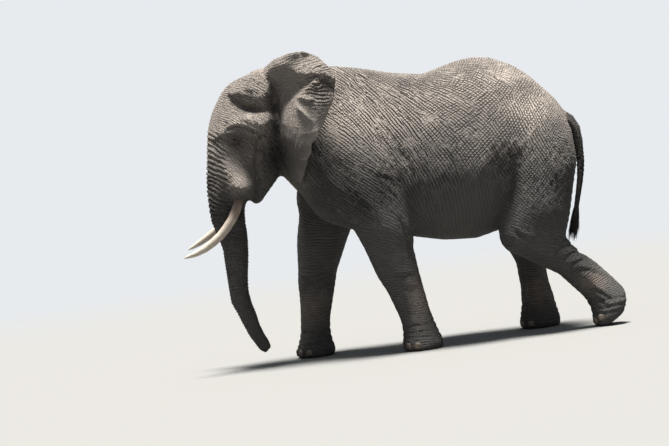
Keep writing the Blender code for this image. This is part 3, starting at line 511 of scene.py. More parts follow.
EAR_NOTCHES = ((2.50, 0.018, 0.030), (2.37, 0.030, 0.045), (2.21, 0.022, 0.025), (2.12, 0.016, 0.022))
REAR_START, REAR_BLEND = -1.02, 0.25    # the notches cut only the rear edge

# %% Press and lift the ears
ear_points = np.flatnonzero(ears > 0.02)
places = vector_array(skin, "co")
points = folded_over(places)[ear_points]
flat = points[:, 1:]
above, _ = beside(flat, BAND)
height = (BAND_RISE - BAND_FALL * np.clip(above, 0, BAND_REACH)) * step_up(above, BAND_EDGE)
for centre, reach, depth in EAR_PRESSES:
    height -= depth * bell(flat, centre, reach)
side, _ = beside(flat, SHELF)
height += SHELF_RISE * step_up(side, SHELF_EDGE) * np.exp(-np.abs(side) / SHELF_FADE)
side, _ = beside(flat, FLAP)
cut = np.exp(-((side + FLAP_SHIFT) / FLAP_WIDTH) ** 2)
height -= FLAP_DEPTH * cut * bell(flat, FLAP_PLACE, FLAP_REACH)
for tongue in TONGUES:
    side, along = beside(flat, tongue)
    height += TONGUE_RISE * np.exp(-(side / TONGUE_WIDTH) ** 2) * np.sin(math.pi * np.clip(along, 0.05, 0.95))
margin = bell(flat, EAR_MARGIN, EAR_MARGIN_REACH)
warp = 0.030 * mottle(points, 0.11, 3) + 0.011 * mottle(points, 0.05, 4)
folds = ridges((flat[:, 1] + 0.15 * (flat[:, 0] - EAR_MARGIN[0]) + warp) / MARGIN_SPACING)
height += MARGIN_FOLD * margin * (folds - 0.6)
upper_folds = ridges((flat[:, 1] - 0.35 * flat[:, 0] + 1.3 * warp) / TOP_SPACING)
height += TOP_FOLD * bell(flat, TOP_PLACE, TOP_REACH) * (upper_folds - 0.6)
height += 0.005 * mottle(points, 0.16, 5)
places[ear_points, 0] += np.sign(places[ear_points, 0]) * height * ears[ear_points]
print("ear relief from", height.min().round(3), "to", height.max().round(3))

# %% Notch the margin and melt the ears into the crown
rear = np.clip((flat[:, 0] - REAR_START) / REAR_BLEND, 0, 1)
for level, deep, tall in EAR_NOTCHES:
    places[ear_points, 1] -= deep * ears[ear_points] * rear * np.exp(-((flat[:, 1] - level) / tall) ** 2)
ear_top = bell(folded_over(places)[:, 1:], EAR_TOP, EAR_TOP_REACH)
places[:, 2] -= EAR_TOP_DROP * ear_top * ears
crown = bell(folded_over(places), CROWN_PLACE, CROWN_REACH)
for axis in range(3):
    eased = blurred(places[:, axis], edges, CROWN_ROUNDS)
    places[:, axis] += (eased - places[:, axis]) * np.clip(1.4 * crown, 0, 1)
in_gap = groove(folded_over(places), GAP, GAP_WIDTH, GAP_DEPTH)
places[:, 0] += in_gap * np.clip(places[:, 0] / 0.10, -1, 1)
set_places(skin, places)
print("ears' margin with", len(EAR_NOTCHES), "notches; the gap behind the jaw", GAP_DEPTH, "m deep")

# %% [markdown]
# ## Rings of the trunk
# The trunk is a muscular tube that shortens and lengthens, so its skin is thrown into rings:
# deep and wide apart at the root, fine and close towards the tip, steep in front where they
# slant down and backwards. The rings are ridges of a coordinate that runs down the trunk. Its
# spacing changes on the way, so the turns are added up from the top.
# %% Tools for the rings
TRUNK_LINE = ((-1.86, 2.80), (-1.90, 2.40), (-1.87, 2.00), (-1.84, 1.63), (-1.825, 1.03), (-1.80, 0.74),
              (-1.733, 0.46), (-1.632, 0.236), (-1.58, 0.10))
RING_LEVELS = (2.90, 2.50, 2.00, 1.60, 1.20, 0.60, 0.10)
RING_SPACING = (0.064, 0.062, 0.056, 0.040, 0.034, 0.031, 0.026)
RING_SLANT = (0.75, 0.80, 0.70, 0.30, 0.12, 0.0, 0.0)
RING_DEPTH = (0.0, 0.020, 0.020, 0.011, 0.008, 0.008, 0.005)
RING_VARIES = 0.55                  # how much deeper or shallower one place is than the next
TUBE_TOP = 1.75                     # above this level only the trunk's front has rings
RING_FRONT, RING_BLEND = -1.745, 0.09
FACE_TOP, FACE_TOP_BLEND = 2.72, 0.12
FACE_FRONT, FACE_FRONT_BLEND = -1.62, 0.10


def ring_lift(places, trunk_share):
    """How far the rings lift or sink each point."""
    points = folded_over(places)
    line = smooth_line(TRUNK_LINE)
    lengths = np.concatenate(([0], np.cumsum(np.hypot(*np.diff(line, axis=0).T))))
    across, along = beside(points[:, 1:], TRUNK_LINE)
    down = np.interp(along * (len(line) - 1), np.arange(len(line)), lengths)
    level = np.interp(down, lengths, line[:, 1])
    falling = -np.array(RING_LEVELS)
    per_metre = 1 / np.interp(-line[:, 1], falling, RING_SPACING)
    turns_at = np.concatenate(([0], np.cumsum((per_metre[1:] + per_metre[:-1]) / 2 * np.diff(lengths))))
    slant = np.interp(-level, falling, RING_SLANT)
    warp = 0.022 * mottle(points, 0.17, 11) + 0.009 * mottle(points, 0.06, 12)
    turns = np.interp(np.clip(down - slant * across + warp, 0, lengths[-1]), lengths, turns_at)
    depth = np.interp(-level, falling, RING_DEPTH) * (1 + RING_VARIES * mottle(points, 0.11, 13))
    front = np.clip((RING_FRONT - points[:, 1]) / RING_BLEND, 0, 1)
    share = np.where(level > TUBE_TOP, front, 1) * trunk_share
    return depth * (ridges(turns) - 0.7) * share


# %% Ring the trunk
places = vector_array(skin, "co")
face_front = np.clip((FACE_TOP - places[:, 2]) / FACE_TOP_BLEND, 0, 1)
face_front = face_front * np.clip((FACE_FRONT - places[:, 1]) / FACE_FRONT_BLEND, 0, 1)
ringed = np.clip(np.maximum(trunk, face_front), 0, 1) * body_only
push(ring_lift(places, ringed))
print("rings of up to", max(RING_DEPTH), "m")

# %% [markdown]
# ## Which way the wrinkles run
# Wrinkles lie square to the direction in which skin is pushed together. On a flank two sets
# cross each other and leave lozenges. A few guides say, for places in the side view, at which
# angle each set runs (0 is level, 90 is upright), how strong it is, and how far apart its lines
# are. Between the guides everything is blended, and the result is laid flat on the skin.
# %% Guides for the wrinkles
GUIDES = np.array((
    # y, z, first set: angle, strength, second set: angle, strength, spacing in mm
    (-1.42, 3.05, -45, 0.9, 50, 0.3, 24), (-1.36, 2.68, -59, 0.9, 20, 0.3, 22),
    (-1.60, 2.76, -50, 0.5, 30, 0.4, 20), (-1.64, 2.50, -15, 0.5, 75, 0.3, 18),
    (-1.80, 2.90, 0, 0.7, 70, 0.5, 22), (-1.52, 3.24, 20, 0.6, 80, 0.5, 24),
    (-1.88, 2.40, -38, 0.5, 40, 0.4, 26), (-1.88, 2.08, -40, 0.5, 40, 0.5, 24),
    (-1.66, 2.09, -50, 0.5, 35, 0.9, 20), (-1.85, 1.60, -18, 0.5, 80, 0.3, 22),
    (-1.82, 1.10, -6, 0.4, 85, 0.2, 18), (-1.72, 0.45, 18, 0.4, 85, 0.2, 16),
    (-1.50, 2.00, -80, 0.6, 10, 0.2, 28), (-1.25, 2.40, -84, 0.9, 10, 0.2, 30),
    (-1.10, 2.08, -75, 0.8, 10, 0.3, 30), (-0.85, 1.90, -50, 0.6, 40, 0.4, 30),
    (-0.32, 2.89, -50, 1.0, 35, 0.4, 27), (-0.05, 2.61, -63, 1.0, 25, 0.4, 27),
    (0.13, 2.21, -68, 1.0, 20, 0.3, 29), (-0.27, 2.06, -38, 1.0, 40, 0.5, 27),
    (-0.03, 1.90, -32, 0.9, 70, 0.6, 25), (0.22, 1.75, -88, 0.7, 0, 0.2, 30),
    (-0.55, 2.55, -45, 0.9, 35, 0.4, 28), (-0.60, 3.00, -30, 0.8, 50, 0.4, 26),
    (0.16, 3.01, -21, 0.8, 40, 0.6, 25), (0.77, 3.11, 7, 0.7, 70, 0.6, 24),
    (0.32, 2.67, -42, 1.0, 30, 0.6, 29), (0.85, 2.62, -30, 0.8, 12, 1.0, 29),
    (0.63, 2.25, -54, 1.0, 41, 0.9, 30), (1.09, 2.19, -60, 0.7, 43, 1.0, 30),
    (1.18, 2.58, -50, 0.6, 42, 1.0, 28), (0.44, 1.98, -59, 0.9, 50, 0.4, 31),
    (0.40, 1.50, -83, 0.30, 80, 0.15, 36), (0.90, 1.55, -88, 0.30, 60, 0.15, 36),
    (1.47, 2.45, -92, 0.9, 50, 0.7, 27), (1.59, 2.04, -77, 0.9, 45, 0.8, 29),
    (1.50, 1.74, -49, 0.8, 46, 1.0, 27), (1.73, 1.89, -60, 0.7, 44, 1.0, 29),
    (1.54, 1.40, -50, 0.8, 49, 1.0, 25), (1.75, 2.45, -60, 0.6, 40, 0.6, 25),
    (1.45, 3.00, 0, 0.6, 60, 0.6, 24), (2.00, 2.10, 0, 0.9, 80, 0.2, 18),
    (1.30, 1.12, -15, 0.6, 70, 0.4, 28), (1.95, 0.70, 35, 0.8, 100, 0.4, 24),
    (1.45, 0.60, 0, 0.7, 85, 0.2, 26), (0.05, 1.30, -25, 0.5, 50, 0.3, 28),
    (0.15, 0.70, 8, 0.7, 85, 0.2, 26), (-0.95, 1.25, 0, 0.5, 80, 0.2, 30),
    (-1.00, 0.60, 4, 0.8, 80, 0.3, 24), (-1.00, 0.10, 0, 0.6, 85, 0.5, 20),
    (0.30, 0.10, 0, 0.6, 85, 0.5, 20), (2.20, 0.20, 10, 0.6, 95, 0.5, 20),
))
EAR_GUIDES = np.array((
    (-0.66, 2.90, 4, 0.8, -40, 0.3, 26), (-1.00, 2.70, 85, 0.20, 5, 0.15, 34),
    (-0.90, 3.22, 12, 0.30, 95, 0.1, 28), (-0.85, 2.30, 70, 0.15, 10, 0.10, 30),
    (-0.85, 2.60, 30, 0.2, -40, 0.2, 28), (-1.15, 2.60, 88, 0.4, 10, 0.2, 26),
))
GUIDE_REACH, EAR_GUIDE_REACH = 0.20, 0.13
CALM_LEVELS, CALM_SHARE = (1.1, 1.7), 0.6     # legs and trunk are smoother low down
SECOND_SET = 0.9                              # the crossing set is weaker everywhere


def blended(guides, flat, reach):
    """Two wave directions, two strengths and the waves per metre at each (y, z)."""
    total, share = np.zeros((len(flat), 7)), np.full(len(flat), 1e-12)
    for y, z, first, first_strength, second, second_strength, spacing in guides:
        weight = np.exp(-((flat - (y, z)) ** 2).sum(1) / (2 * reach**2)) + 1e-9
        turn = np.radians((first, second))
        row = (math.sin(turn[0]), -math.cos(turn[0]), math.sin(turn[1]), -math.cos(turn[1]),
               first_strength, second_strength, 1000 / spacing)
        total += weight[:, None] * row
        share += weight
    return total / share[:, None]


def wrinkle_field(places, normals, ear_share):
    """Wave directions of both sets, flat on the skin and one long, with strengths and frequency."""
    flat = places[:, 1:]
    rows = blended(GUIDES, flat, GUIDE_REACH)
    rows += (blended(EAR_GUIDES, flat, EAR_GUIDE_REACH) - rows) * ear_share[:, None]
    ways, room = [], []
    for column in (0, 2):
        way = np.zeros_like(places)
        way[:, 1:] = rows[:, column:column + 2]
        way -= normals * (way * normals).sum(1)[:, None]
        room.append(np.clip(1.6 * np.linalg.norm(way, axis=1), 0, 1))
        way += 0.05 * np.cross(normals, (0.3, 0.2, 1.0))
        ways.append(way / np.maximum(np.linalg.norm(way, axis=1), 1e-6)[:, None])
    calm = np.interp(places[:, 2], CALM_LEVELS, (CALM_SHARE, 1.0))
    return ways[0], ways[1], rows[:, 4] * calm * room[0], rows[:, 5] * calm * room[1] * SECOND_SET, rows[:, 6]


print("guides:", len(GUIDES), "on the body and", len(EAR_GUIDES), "on each ear")

# %% [markdown]
# ## Wrinkles in the surface
# The larger wrinkles are real relief. Gabor noise suits them: it is a sum of short wave packets,
# each turned and spaced as its place asks, so lines run on for a while, fork and die out as they
# do in a hide. The angle of the sum gives even ridges with sharp valleys between them.
# %% Wave packets
WAVE_CELL = 0.26


def wave_packets(places, waves, seed):
    """The turn, 0 to 1, and strength of waves whose directions are given in cycles per metre."""
    scaled = places / WAVE_CELL
    base = np.floor(scaled)
    inside = scaled - base
    even, odd = np.zeros(len(places)), np.zeros(len(places))
    for step in np.ndindex(3, 3, 3):
        offset = np.array(step) - 1
        cell = base + offset
        away = inside - offset - np.stack([lattice(cell, seed + k) for k in range(3)], axis=1)
        fade = np.clip(1 - (away**2).sum(1), 0, None) ** 2
        turn = 2 * math.pi * ((away * waves).sum(1) * WAVE_CELL + lattice(cell, seed + 3))
        even += fade * np.cos(turn)
        odd += fade * np.sin(turn)
    return np.arctan2(odd, even) / (2 * math.pi) + 0.5, np.clip(np.hypot(even, odd) * 2, 0, 1)


# %% Press the larger wrinkles in
COARSE_BODY, COARSE_HEAD = 0.32, 0.46   # large wrinkles, as a share of the frequency of the fine ones
BODY_WRINKLE = 0.0030
HEAD_WRINKLE = 0.0034
places, normals = vector_array(skin, "co"), vector_array(skin, "normal")
way_a, way_b, strong_a, strong_b, frequency = wrinkle_field(places, normals, ears)
head_share = region("head", "lower_jaw")
front_share = np.clip(head_share + ears + trunk + tail, 0, 1)
amount = BODY_WRINKLE + (HEAD_WRINKLE - BODY_WRINKLE) * front_share
coarse = frequency * (COARSE_BODY + (COARSE_HEAD - COARSE_BODY) * front_share)
relief = np.zeros(len(places))
for way, strength, seed in ((way_a, strong_a, 21), (way_b, strong_b, 41)):
    turn, power = wave_packets(places, way * coarse[:, None], seed)
    relief += strength * power * np.cos(2 * math.pi * turn)
push(amount * relief)
print("relief from", (amount * relief).min().round(4), "to", (amount * relief).max().round(4))

# %% [markdown]
# ## Fewer triangles
# The even net has far more points than the forms need. Decimate takes away those that matter
# least. Its vertex group says where to take more: the head, trunk, ears and feet keep a finer
# mesh than the wide flanks.
# %% Thin the skin
SKIN_TRIANGLES = 168000
SLIVER_TURN = math.radians(25)   # edges may be turned between faces that are this near to level
KEPT_SHARE = 0.5
LOSS_FACTOR = 0.002     # small, because it is weighed against errors in square metres
fine_parts = np.clip(head_share + ears + trunk + 0.7 * feet, 0, 1)
rear_margin = bell(folded_over(places)[:, 1:], EAR_MARGIN, (0.18, 0.25)) * ears
paint_group(skin, "loss", 1 - KEPT_SHARE * (fine_parts + rear_margin))
apply_modifier(skin, "DECIMATE", ratio=SKIN_TRIANGLES / (2 * len(skin.data.polygons)), vertex_group="loss",
               vertex_group_factor=LOSS_FACTOR)
only(skin)
bpy.ops.object.mode_set(mode="EDIT")
bpy.ops.mesh.select_all(action="SELECT")
bpy.ops.mesh.beautify_fill(angle_limit=SLIVER_TURN)
bpy.ops.object.mode_set(mode="OBJECT")
bpy.ops.object.shade_smooth()
print("skin:", sum(len(p.vertices) - 2 for p in skin.data.polygons), "triangles")

# %% [markdown]
# ## Lids
# The eyeballs stay separate solids, so the skin has to open for them. Holes could be cut with a
# Boolean, but a lid is a fold of skin that lies on the ball, so it is shaped instead: the net is
# made finer round each eye, the socket is filled level with the cheek, points just beside the
# almond-shaped slit are moved onto its edge, and the skin outside it is laid over the ball.
# %% Finer skin round the eyes
FINER = (0.11, 0.075, 0.045)    # each circle is cut once more than the one outside it


def eye_middle(name):
    """The middle of an eyeball's box."""
    low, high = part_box(name)
    return np.array((low + high) / 2)


EYES = {"eye_left": eye_middle("eye_left"), "eye_right": eye_middle("eye_right")}
EYE_RADIUS = (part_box("eye_left")[1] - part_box("eye_left")[0]).z / 2


def select_faces(thing, chosen):
    """Leaves exactly these faces selected, in edit mode."""
    only(thing)
    bpy.ops.object.mode_set(mode="EDIT")
    bpy.ops.mesh.select_mode(type="FACE")
    bpy.ops.mesh.select_all(action="DESELECT")
    bpy.ops.object.mode_set(mode="OBJECT")
    thing.data.polygons.foreach_set("select", chosen)
    bpy.ops.object.mode_set(mode="EDIT")


def face_centres(thing):
    """The middle of every face."""
    found = np.empty(len(thing.data.polygons) * 3, np.float32)
    thing.data.polygons.foreach_get("center", found)
    return found.reshape(-1, 3).astype(float)


def outward_of(middle):
    """1 on the left side of the body and -1 on the right."""
    return 1.0 if middle[0] > 0 else -1.0


for reach in FINER:
    for middle in EYES.values():
        centres = face_centres(skin)
        outer = (centres[:, 0] - middle[0]) * outward_of(middle) > -0.10
        close = np.hypot(*(centres - middle)[:, 1:].T) < reach
        select_faces(skin, outer & close)
        bpy.ops.mesh.subdivide(number_cuts=1)
        bpy.ops.object.mode_set(mode="OBJECT")
print("skin with finer lids:", len(skin.data.polygons), "faces; eye radius", round(EYE_RADIUS, 4))

# %% Sizes of the lids
SLIT_TILT = math.radians(17)                 # the front corner of the eye lies lower
SLIT_HALF = 0.025
UPPER_OPEN, LOWER_OPEN = 0.0125, 0.0095
LID = 0.0042                                 # how thick the skin lies on the ball
SNAP = 0.16                                  # how near the edge a point is pulled onto it
LEVEL_RING = (0.055, 0.095)                  # the ring of cheek that gives the level
LID_BLEND = 0.004                            # how softly the skin passes onto the ball
CREASES = ((0.021, 0.0030), (0.030, 0.0026), (0.051, 0.0026), (0.066, 0.0024))   # radius, depth
CREASE_WIDTH, CREASE_WAVER = 0.0024, 0.0018
CREASE_OVAL = 1.35                           # the creases are longer than tall by this much
POUCH_HEIGHT, POUCH_REACH = 0.014, 0.045
RIM_OUT, RIM_HEIGHT, RIM_WIDTH = 0.041, 0.0045, 0.0045     # a lit edge below and behind the eye
UNDER_RIM, UNDER_OUT, UNDER_WIDTH = 1.6 * RIM_HEIGHT, 0.053, 0.006    # the shadowed groove under it
SLIT_SINK = 0.007                            # how deep the skin inside the slit lies behind the ball
print("slit of", 2000 * SLIT_HALF, "mm, tilted by", round(math.degrees(SLIT_TILT)), "degrees")


# %% Tools for the lids
def slit_place(flat, middle):
    """Each point's place along the slit, across it, and its slit value: 0 on the edge, less inside."""
    away = flat - middle[1:]
    u = away[:, 0] * math.cos(SLIT_TILT) + away[:, 1] * math.sin(SLIT_TILT)
    v = away[:, 1] * math.cos(SLIT_TILT) - away[:, 0] * math.sin(SLIT_TILT)
    opening = np.where(v > 0, UPPER_OPEN, LOWER_OPEN)
    return u, v, (u / SLIT_HALF) ** 2 + np.abs(v) / opening - 1


def onto_slit(flat, middle):
    """Moves points beside the slit onto its edge, and gives u, v, the slit value and (y, z)."""
    u, v, value = slit_place(flat, middle)
    opening = np.where(v > 0, UPPER_OPEN, LOWER_OPEN)
    steep = np.stack((2 * u / SLIT_HALF**2, np.where(v > 0, 1, -1) / opening), axis=1)
    pull = np.where(np.abs(value) < SNAP, value, 0)[:, None] * steep / (steep**2).sum(1)[:, None]
    u, v = u - pull[:, 0], v - pull[:, 1]
    return u, v, value, middle[1:] + np.stack((u * math.cos(SLIT_TILT) - v * math.sin(SLIT_TILT),
                                               u * math.sin(SLIT_TILT) + v * math.cos(SLIT_TILT)), axis=1)


def filled_socket(out, y, z, ring):
    """How far out the skin lies once the socket is filled level with the ring of cheek round it."""
    terms = np.stack((np.ones_like(y), y, z, y * y, y * z, z * z), axis=1)
    fit = np.linalg.lstsq(terms[ring], out[ring], rcond=None)[0]
    reach = np.hypot(y, z)
    level = terms @ fit
    share = 1 - np.clip((reach - LEVEL_RING[0] * 0.6) / (LEVEL_RING[1] - LEVEL_RING[0] * 0.6), 0, 1)
    share = share * share * (3 - 2 * share)
    return out + (level - out) * np.clip(1.5 * share, 0, 1)


# %% Shape the lids
def shape_lids(places, middle):
    """Shapes the skin round one eye and says how far the cheek lies out from the ball's middle."""
    outward = outward_of(middle)
    out = places[:, 0] * outward
    away = np.hypot(*(places - middle)[:, 1:].T)
    near = np.flatnonzero((out > middle[0] * outward - 0.12) & (away < LEVEL_RING[1]))
    u, v, value, flat = onto_slit(places[near, 1:], middle)
    y, z = (flat - middle[1:]).T
    reach = np.hypot(y, z)
    surface = filled_socket(out[near], y, z, away[near] > LEVEL_RING[0])
    # lay the skin over the ball, with a thick upper lid and a soft pouch round the whole eye
    ball = middle[0] * outward + np.sqrt(np.clip(EYE_RADIUS**2 - reach**2, 0, None))
    pouch = POUCH_HEIGHT * np.exp(-(reach / POUCH_REACH) ** 2)
    over = np.where(reach < EYE_RADIUS, ball + LID, -1)
    laid = LID_BLEND * np.logaddexp((surface + pouch) / LID_BLEND, over / LID_BLEND)
    spots = np.stack((y, z, y), axis=1)
    oval = np.hypot(u / CREASE_OVAL, v) + CREASE_WAVER * mottle(spots, 0.016, 7)
    broken = np.clip(0.5 + 1.2 * mottle(spots, 0.045, 9), 0, 1)
    clear = np.where(v > 0, 1.0, 0.75) * np.clip(np.abs(v) / 0.006, 0.25, 1) * broken
    for radius, depth in CREASES:
        laid -= depth * clear * np.exp(-((oval - radius) / CREASE_WIDTH) ** 2)
    lower_rear = np.clip(0.5 + (u - v) / 0.05, 0, 1)
    laid += RIM_HEIGHT * lower_rear * np.exp(-((reach - RIM_OUT) / RIM_WIDTH) ** 2)
    laid -= UNDER_RIM * lower_rear * np.exp(-((reach - UNDER_OUT) / UNDER_WIDTH) ** 2)
    laid = np.where(value <= -SNAP, np.minimum(ball, laid) - SLIT_SINK, laid)
    places[near, 0] = laid * outward
    places[near, 1:] = flat
    return (surface + pouch)[reach.argmin()] - middle[0] * outward


places = vector_array(skin, "co")
for name, middle in EYES.items():
    print(name, "lies", round(EYE_RADIUS - shape_lids(places, middle), 4), "m proud of the cheek")
set_places(skin, places)

# %% [markdown]
# ## What the hide's material reads
# The material draws the fine wrinkles, and it needs to know which way they run. The field is
# worked out again for the points that are left and stored on them as attributes.
# %% Store the wrinkle field
GABOR_SCALE = 3.4


def store(thing, name, values):
    """Keeps a number or a direction for every point as an attribute."""
    kind = "FLOAT" if values.ndim == 1 else "FLOAT_VECTOR"
    made = thing.data.attributes.new(name, kind, "POINT")
    made.data.foreach_set("value" if kind == "FLOAT" else "vector", values.astype(np.float32).ravel())


edges = edges_of(skin)
regions = read_regions(skin)
ears, trunk, tail, feet = region(*EARS), region(*TRUNK), region("tail"), region(*FEET)
places, normals = vector_array(skin, "co"), vector_array(skin, "normal")
way_a, way_b, strong_a, strong_b, frequency = wrinkle_field(places, normals, ears)
store(skin, "way_a", way_a)
store(skin, "way_b", way_b)
store(skin, "wrinkle", np.stack((strong_a, strong_b, frequency / GABOR_SCALE), axis=1))
print("stored the field on", len(places), "points")

# %% [markdown]
# ## Markings, painted shade and painted highlights
# Mud dries on the lower legs. Where the light reaches little, the colour is darkened as painted
# shade: in the gap before the ear, in its bowl and lower part, on the throat, round the eye, on the
# upper arm, the edge of the shoulder blade, the lower flank, the hollow before the hip, behind the
# ear and on the tail. Where it falls strongest, on the brow, the cheek over the tusk, the croup and
# the hip, it is lightened as painted highlight. Such places could be painted on the points with a
# brush. Here each one is a bell in the side view, as the broad strokes are, and its strength is
# stored on the points for the material to read.
# %% Store the mud, painted shade and painted highlights
SPLASHES = (
    # side, y, z, reach along, reach up: dried mud on the lower legs
    (RIGHT, -1.05, 0.54, 0.16, 0.20), (LEFT, 0.14, 0.58, 0.13, 0.24), (LEFT, 2.02, 0.50, 0.14, 0.10),
    (RIGHT, 1.46, 0.40, 0.14, 0.16),
)
PAINTED_SHADES = (
    # y, z            reach            how much darker, as painted shade where little light reaches
    ((-1.17, 2.72), (0.075, 0.34), 0.80),   # the gap before the ear
    ((-1.10, 2.95), (0.14, 0.17), 0.35),    # bowl of the ear
    ((-0.98, 2.34), (0.18, 0.28), 0.45),    # lower ear
    ((-1.24, 2.26), (0.15, 0.27), 0.85),    # throat
    ((-1.62, 2.44), (0.18, 0.13), 0.40),    # round the eye
    ((-0.30, 1.85), (0.36, 0.28), 0.60),    # upper arm
    ((-0.46, 2.06), (0.15, 0.17), 0.35),    # edge of the shoulder blade
    ((0.42, 2.18), (0.36, 0.20), 0.42),     # lower flank
    ((0.95, 2.16), (0.32, 0.17), 0.28),     # hollow before the hip
)
# painted shadow of the ear, on the neck and shoulder
EAR_SHADOW = ((-0.73, 2.22), (0.16, 0.32), 0.85)    # on the neck and shoulder, not on the ear
# painted shade on the whole tail
TAIL_SHADE = 0.75
# painted highlights, on top of the dust, where the light falls strongest
PAINTED_HIGHLIGHTS = (
    # y, z         reach
    ((-1.54, 2.715), (0.18, 0.060)),        # brow
    ((-1.645, 2.07), (0.11, 0.10)),         # cheek over the tusk
    ((1.38, 2.84), (0.20, 0.12)),           # croup
    ((1.58, 2.46), (0.20, 0.15)),           # hip
)
splash = np.zeros(len(places))
for side, y, z, along, up in SPLASHES:
    splash += bell(places[:, 1:], (y, z), (along, up)) * (places[:, 0] * side > 0)
points = folded_over(places)[:, 1:]
body_only = 1 - ears
# the share of colour left outside the painted shade: behind the ear, on the tail and in the places listed
# above
outside_painted_shade = (1 - EAR_SHADOW[2] * bell(points, *EAR_SHADOW[:2]) * body_only) * (1 - TAIL_SHADE * tail)
for middle, reach, darker in PAINTED_SHADES:
    outside_painted_shade *= 1 - darker * bell(points, middle, reach)
# the mud splashes, the painted shade and the painted highlights are stored on the points
store(skin, "splash", splash)
store(skin, "painted_shade", 1 - outside_painted_shade)
store(skin, "painted_highlight", sum(bell(points, *spot) for spot in PAINTED_HIGHLIGHTS) * body_only)
print("markings:", len(SPLASHES), "splashes,", len(PAINTED_SHADES), "darker and", len(PAINTED_HIGHLIGHTS), "lighter places")

# %% [markdown]
# ## The hide's material
# Elephant hide is grey skin under dust and dried mud, and its wrinkles are too fine for the mesh.
# Two layers of Gabor noise follow the stored directions, one for each set of wrinkles. Their
# valleys lower a bump map and darken the colour as painted shade in the creases. Dust is lightest
# on the back; the colour is darker low down, partly as mud and partly as painted shade on the lower
# body. The stored painted shade and painted highlights are mixed in as well. Nothing is painted
# from an image.
# %% Tools for materials
def fresh_material(name, roughness, specular=0.5):
    """A new material, its node tree and its shader."""
    made = bpy.data.materials.new(name)
    made.use_nodes = True
    shader = made.node_tree.nodes["Principled BSDF"]
    shader.inputs["Roughness"].default_value = roughness
    shader.inputs["Specular IOR Level"].default_value = specular
    return made, made.node_tree, shader


def node(tree, kind, inputs=(), **settings):
    """Adds a node, sets its settings, and links or sets its inputs by name or number."""
    made = tree.nodes.new("ShaderNode" + kind)
    for key, value in settings.items():
        setattr(made, key, value)
    for key, value in dict(inputs).items():
        if isinstance(value, bpy.types.NodeSocket):
            tree.links.new(value, made.inputs[key])
        else:
            made.inputs[key].default_value = value
    return made


def maths(tree, operation, *values):
    made = node(tree, "Math", operation=operation)
    for socket, value in zip(made.inputs, values):
        if isinstance(value, bpy.types.NodeSocket):
            tree.links.new(value, socket)
        else:
            socket.default_value = value
    return made.outputs[0]


def attribute(tree, name, kind="Fac"):
    return node(tree, "Attribute", attribute_name=name).outputs[kind]


def object_place(tree):
    return node(tree, "TexCoord").outputs["Object"]


def noise(tree, where, scale, detail, roughness=0.5):
    return node(tree, "TexNoise", {"Vector": where, "Scale": scale, "Detail": detail,
                                   "Roughness": roughness}).outputs[0]


def cracks(tree, where, scale, width):
    """1 on the borders of irregular cells, 0 from this far inside them."""
    cells = node(tree, "TexVoronoi", {"Vector": where, "Scale": scale}, feature="DISTANCE_TO_EDGE")
    return node(tree, "MapRange", {"Value": cells.outputs["Distance"], "From Max": width,
                                   "To Min": 1.0, "To Max": 0.0}).outputs[0]


def mixed(tree, share, first, second):
    """The first colour passing into the second, which is a row of red, green and blue."""
    return node(tree, "Mix", {0: share, 6: first, 7: (*second, 1)}, data_type="RGBA").outputs[2]


def ramp(tree, fac, *stops):
    """A colour ramp from (place, red, green, blue) rows."""
    made = node(tree, "ValToRGB", {"Fac": fac})
    elements = made.color_ramp.elements
    while len(elements) < len(stops):
        elements.new(0.5)
    for element, (spot, *colour) in zip(elements, stops):
        element.position, element.color = spot, (*colour, 1)
    return made.outputs[0]


def colour_and_relief(tree, shader, colour, height=None, strength=1.0, distance=0.001):
    """Links the colour to the shader, and a height, if there is one, as a bump."""
    tree.links.new(colour, shader.inputs["Base Color"])
    if height is not None:
        bump = node(tree, "Bump", {"Height": height, "Strength": strength, "Distance": distance})
        tree.links.new(bump.outputs[0], shader.inputs["Normal"])


# %% Fine wrinkles of the hide
VALLEY_EDGE = 0.36      # how much of each turn, to either side, the slopes of a valley take
FINE_SHARE = 0.90       # the frequency of the finest wrinkles, as a share of the stored one
WOBBLE = (0.03, 0.03, 0.03)

hide, tree, shader = fresh_material("hide", 0.68, 0.35)
place = object_place(tree)
wobble = node(tree, "TexNoise", {"Vector": place, "Scale": 9.0, "Detail": 2.0}).outputs["Color"]
offset = node(tree, "VectorMath", {0: wobble, 1: (0.5, 0.5, 0.5)}, operation="SUBTRACT").outputs[0]
moved = node(tree, "VectorMath", {0: offset, 1: WOBBLE, 2: place}, operation="MULTIPLY_ADD").outputs[0]
wrinkle = node(tree, "SeparateXYZ", {0: attribute(tree, "wrinkle", "Vector")})


def wrinkles(way, strength, gain, gate):
    """Valley depth, 0 to 1, of one set of fine wrinkles, which shows where the noise is strong."""
    gabor = node(tree, "TexGabor", {
        "Vector": moved, "Scale": GABOR_SCALE, "Anisotropy": 1.0,
        "Frequency": maths(tree, "MULTIPLY", wrinkle.outputs["Z"], FINE_SHARE),
        "Orientation": attribute(tree, way, "Vector")}, gabor_type="3D")
    centred = maths(tree, "ABSOLUTE", maths(tree, "SUBTRACT", gabor.outputs["Phase"], 0.5))
    valley = node(tree, "MapRange", {"Value": centred, "From Min": VALLEY_EDGE, "From Max": 0.04},
                  interpolation_type="SMOOTHSTEP").outputs[0]
    gated = maths(tree, "MULTIPLY_ADD", gabor.outputs["Intensity"], gain, gate)
    power = node(tree, "Clamp", {"Value": gated}).outputs[0]
    return maths(tree, "MULTIPLY", maths(tree, "MULTIPLY", valley, power), strength)


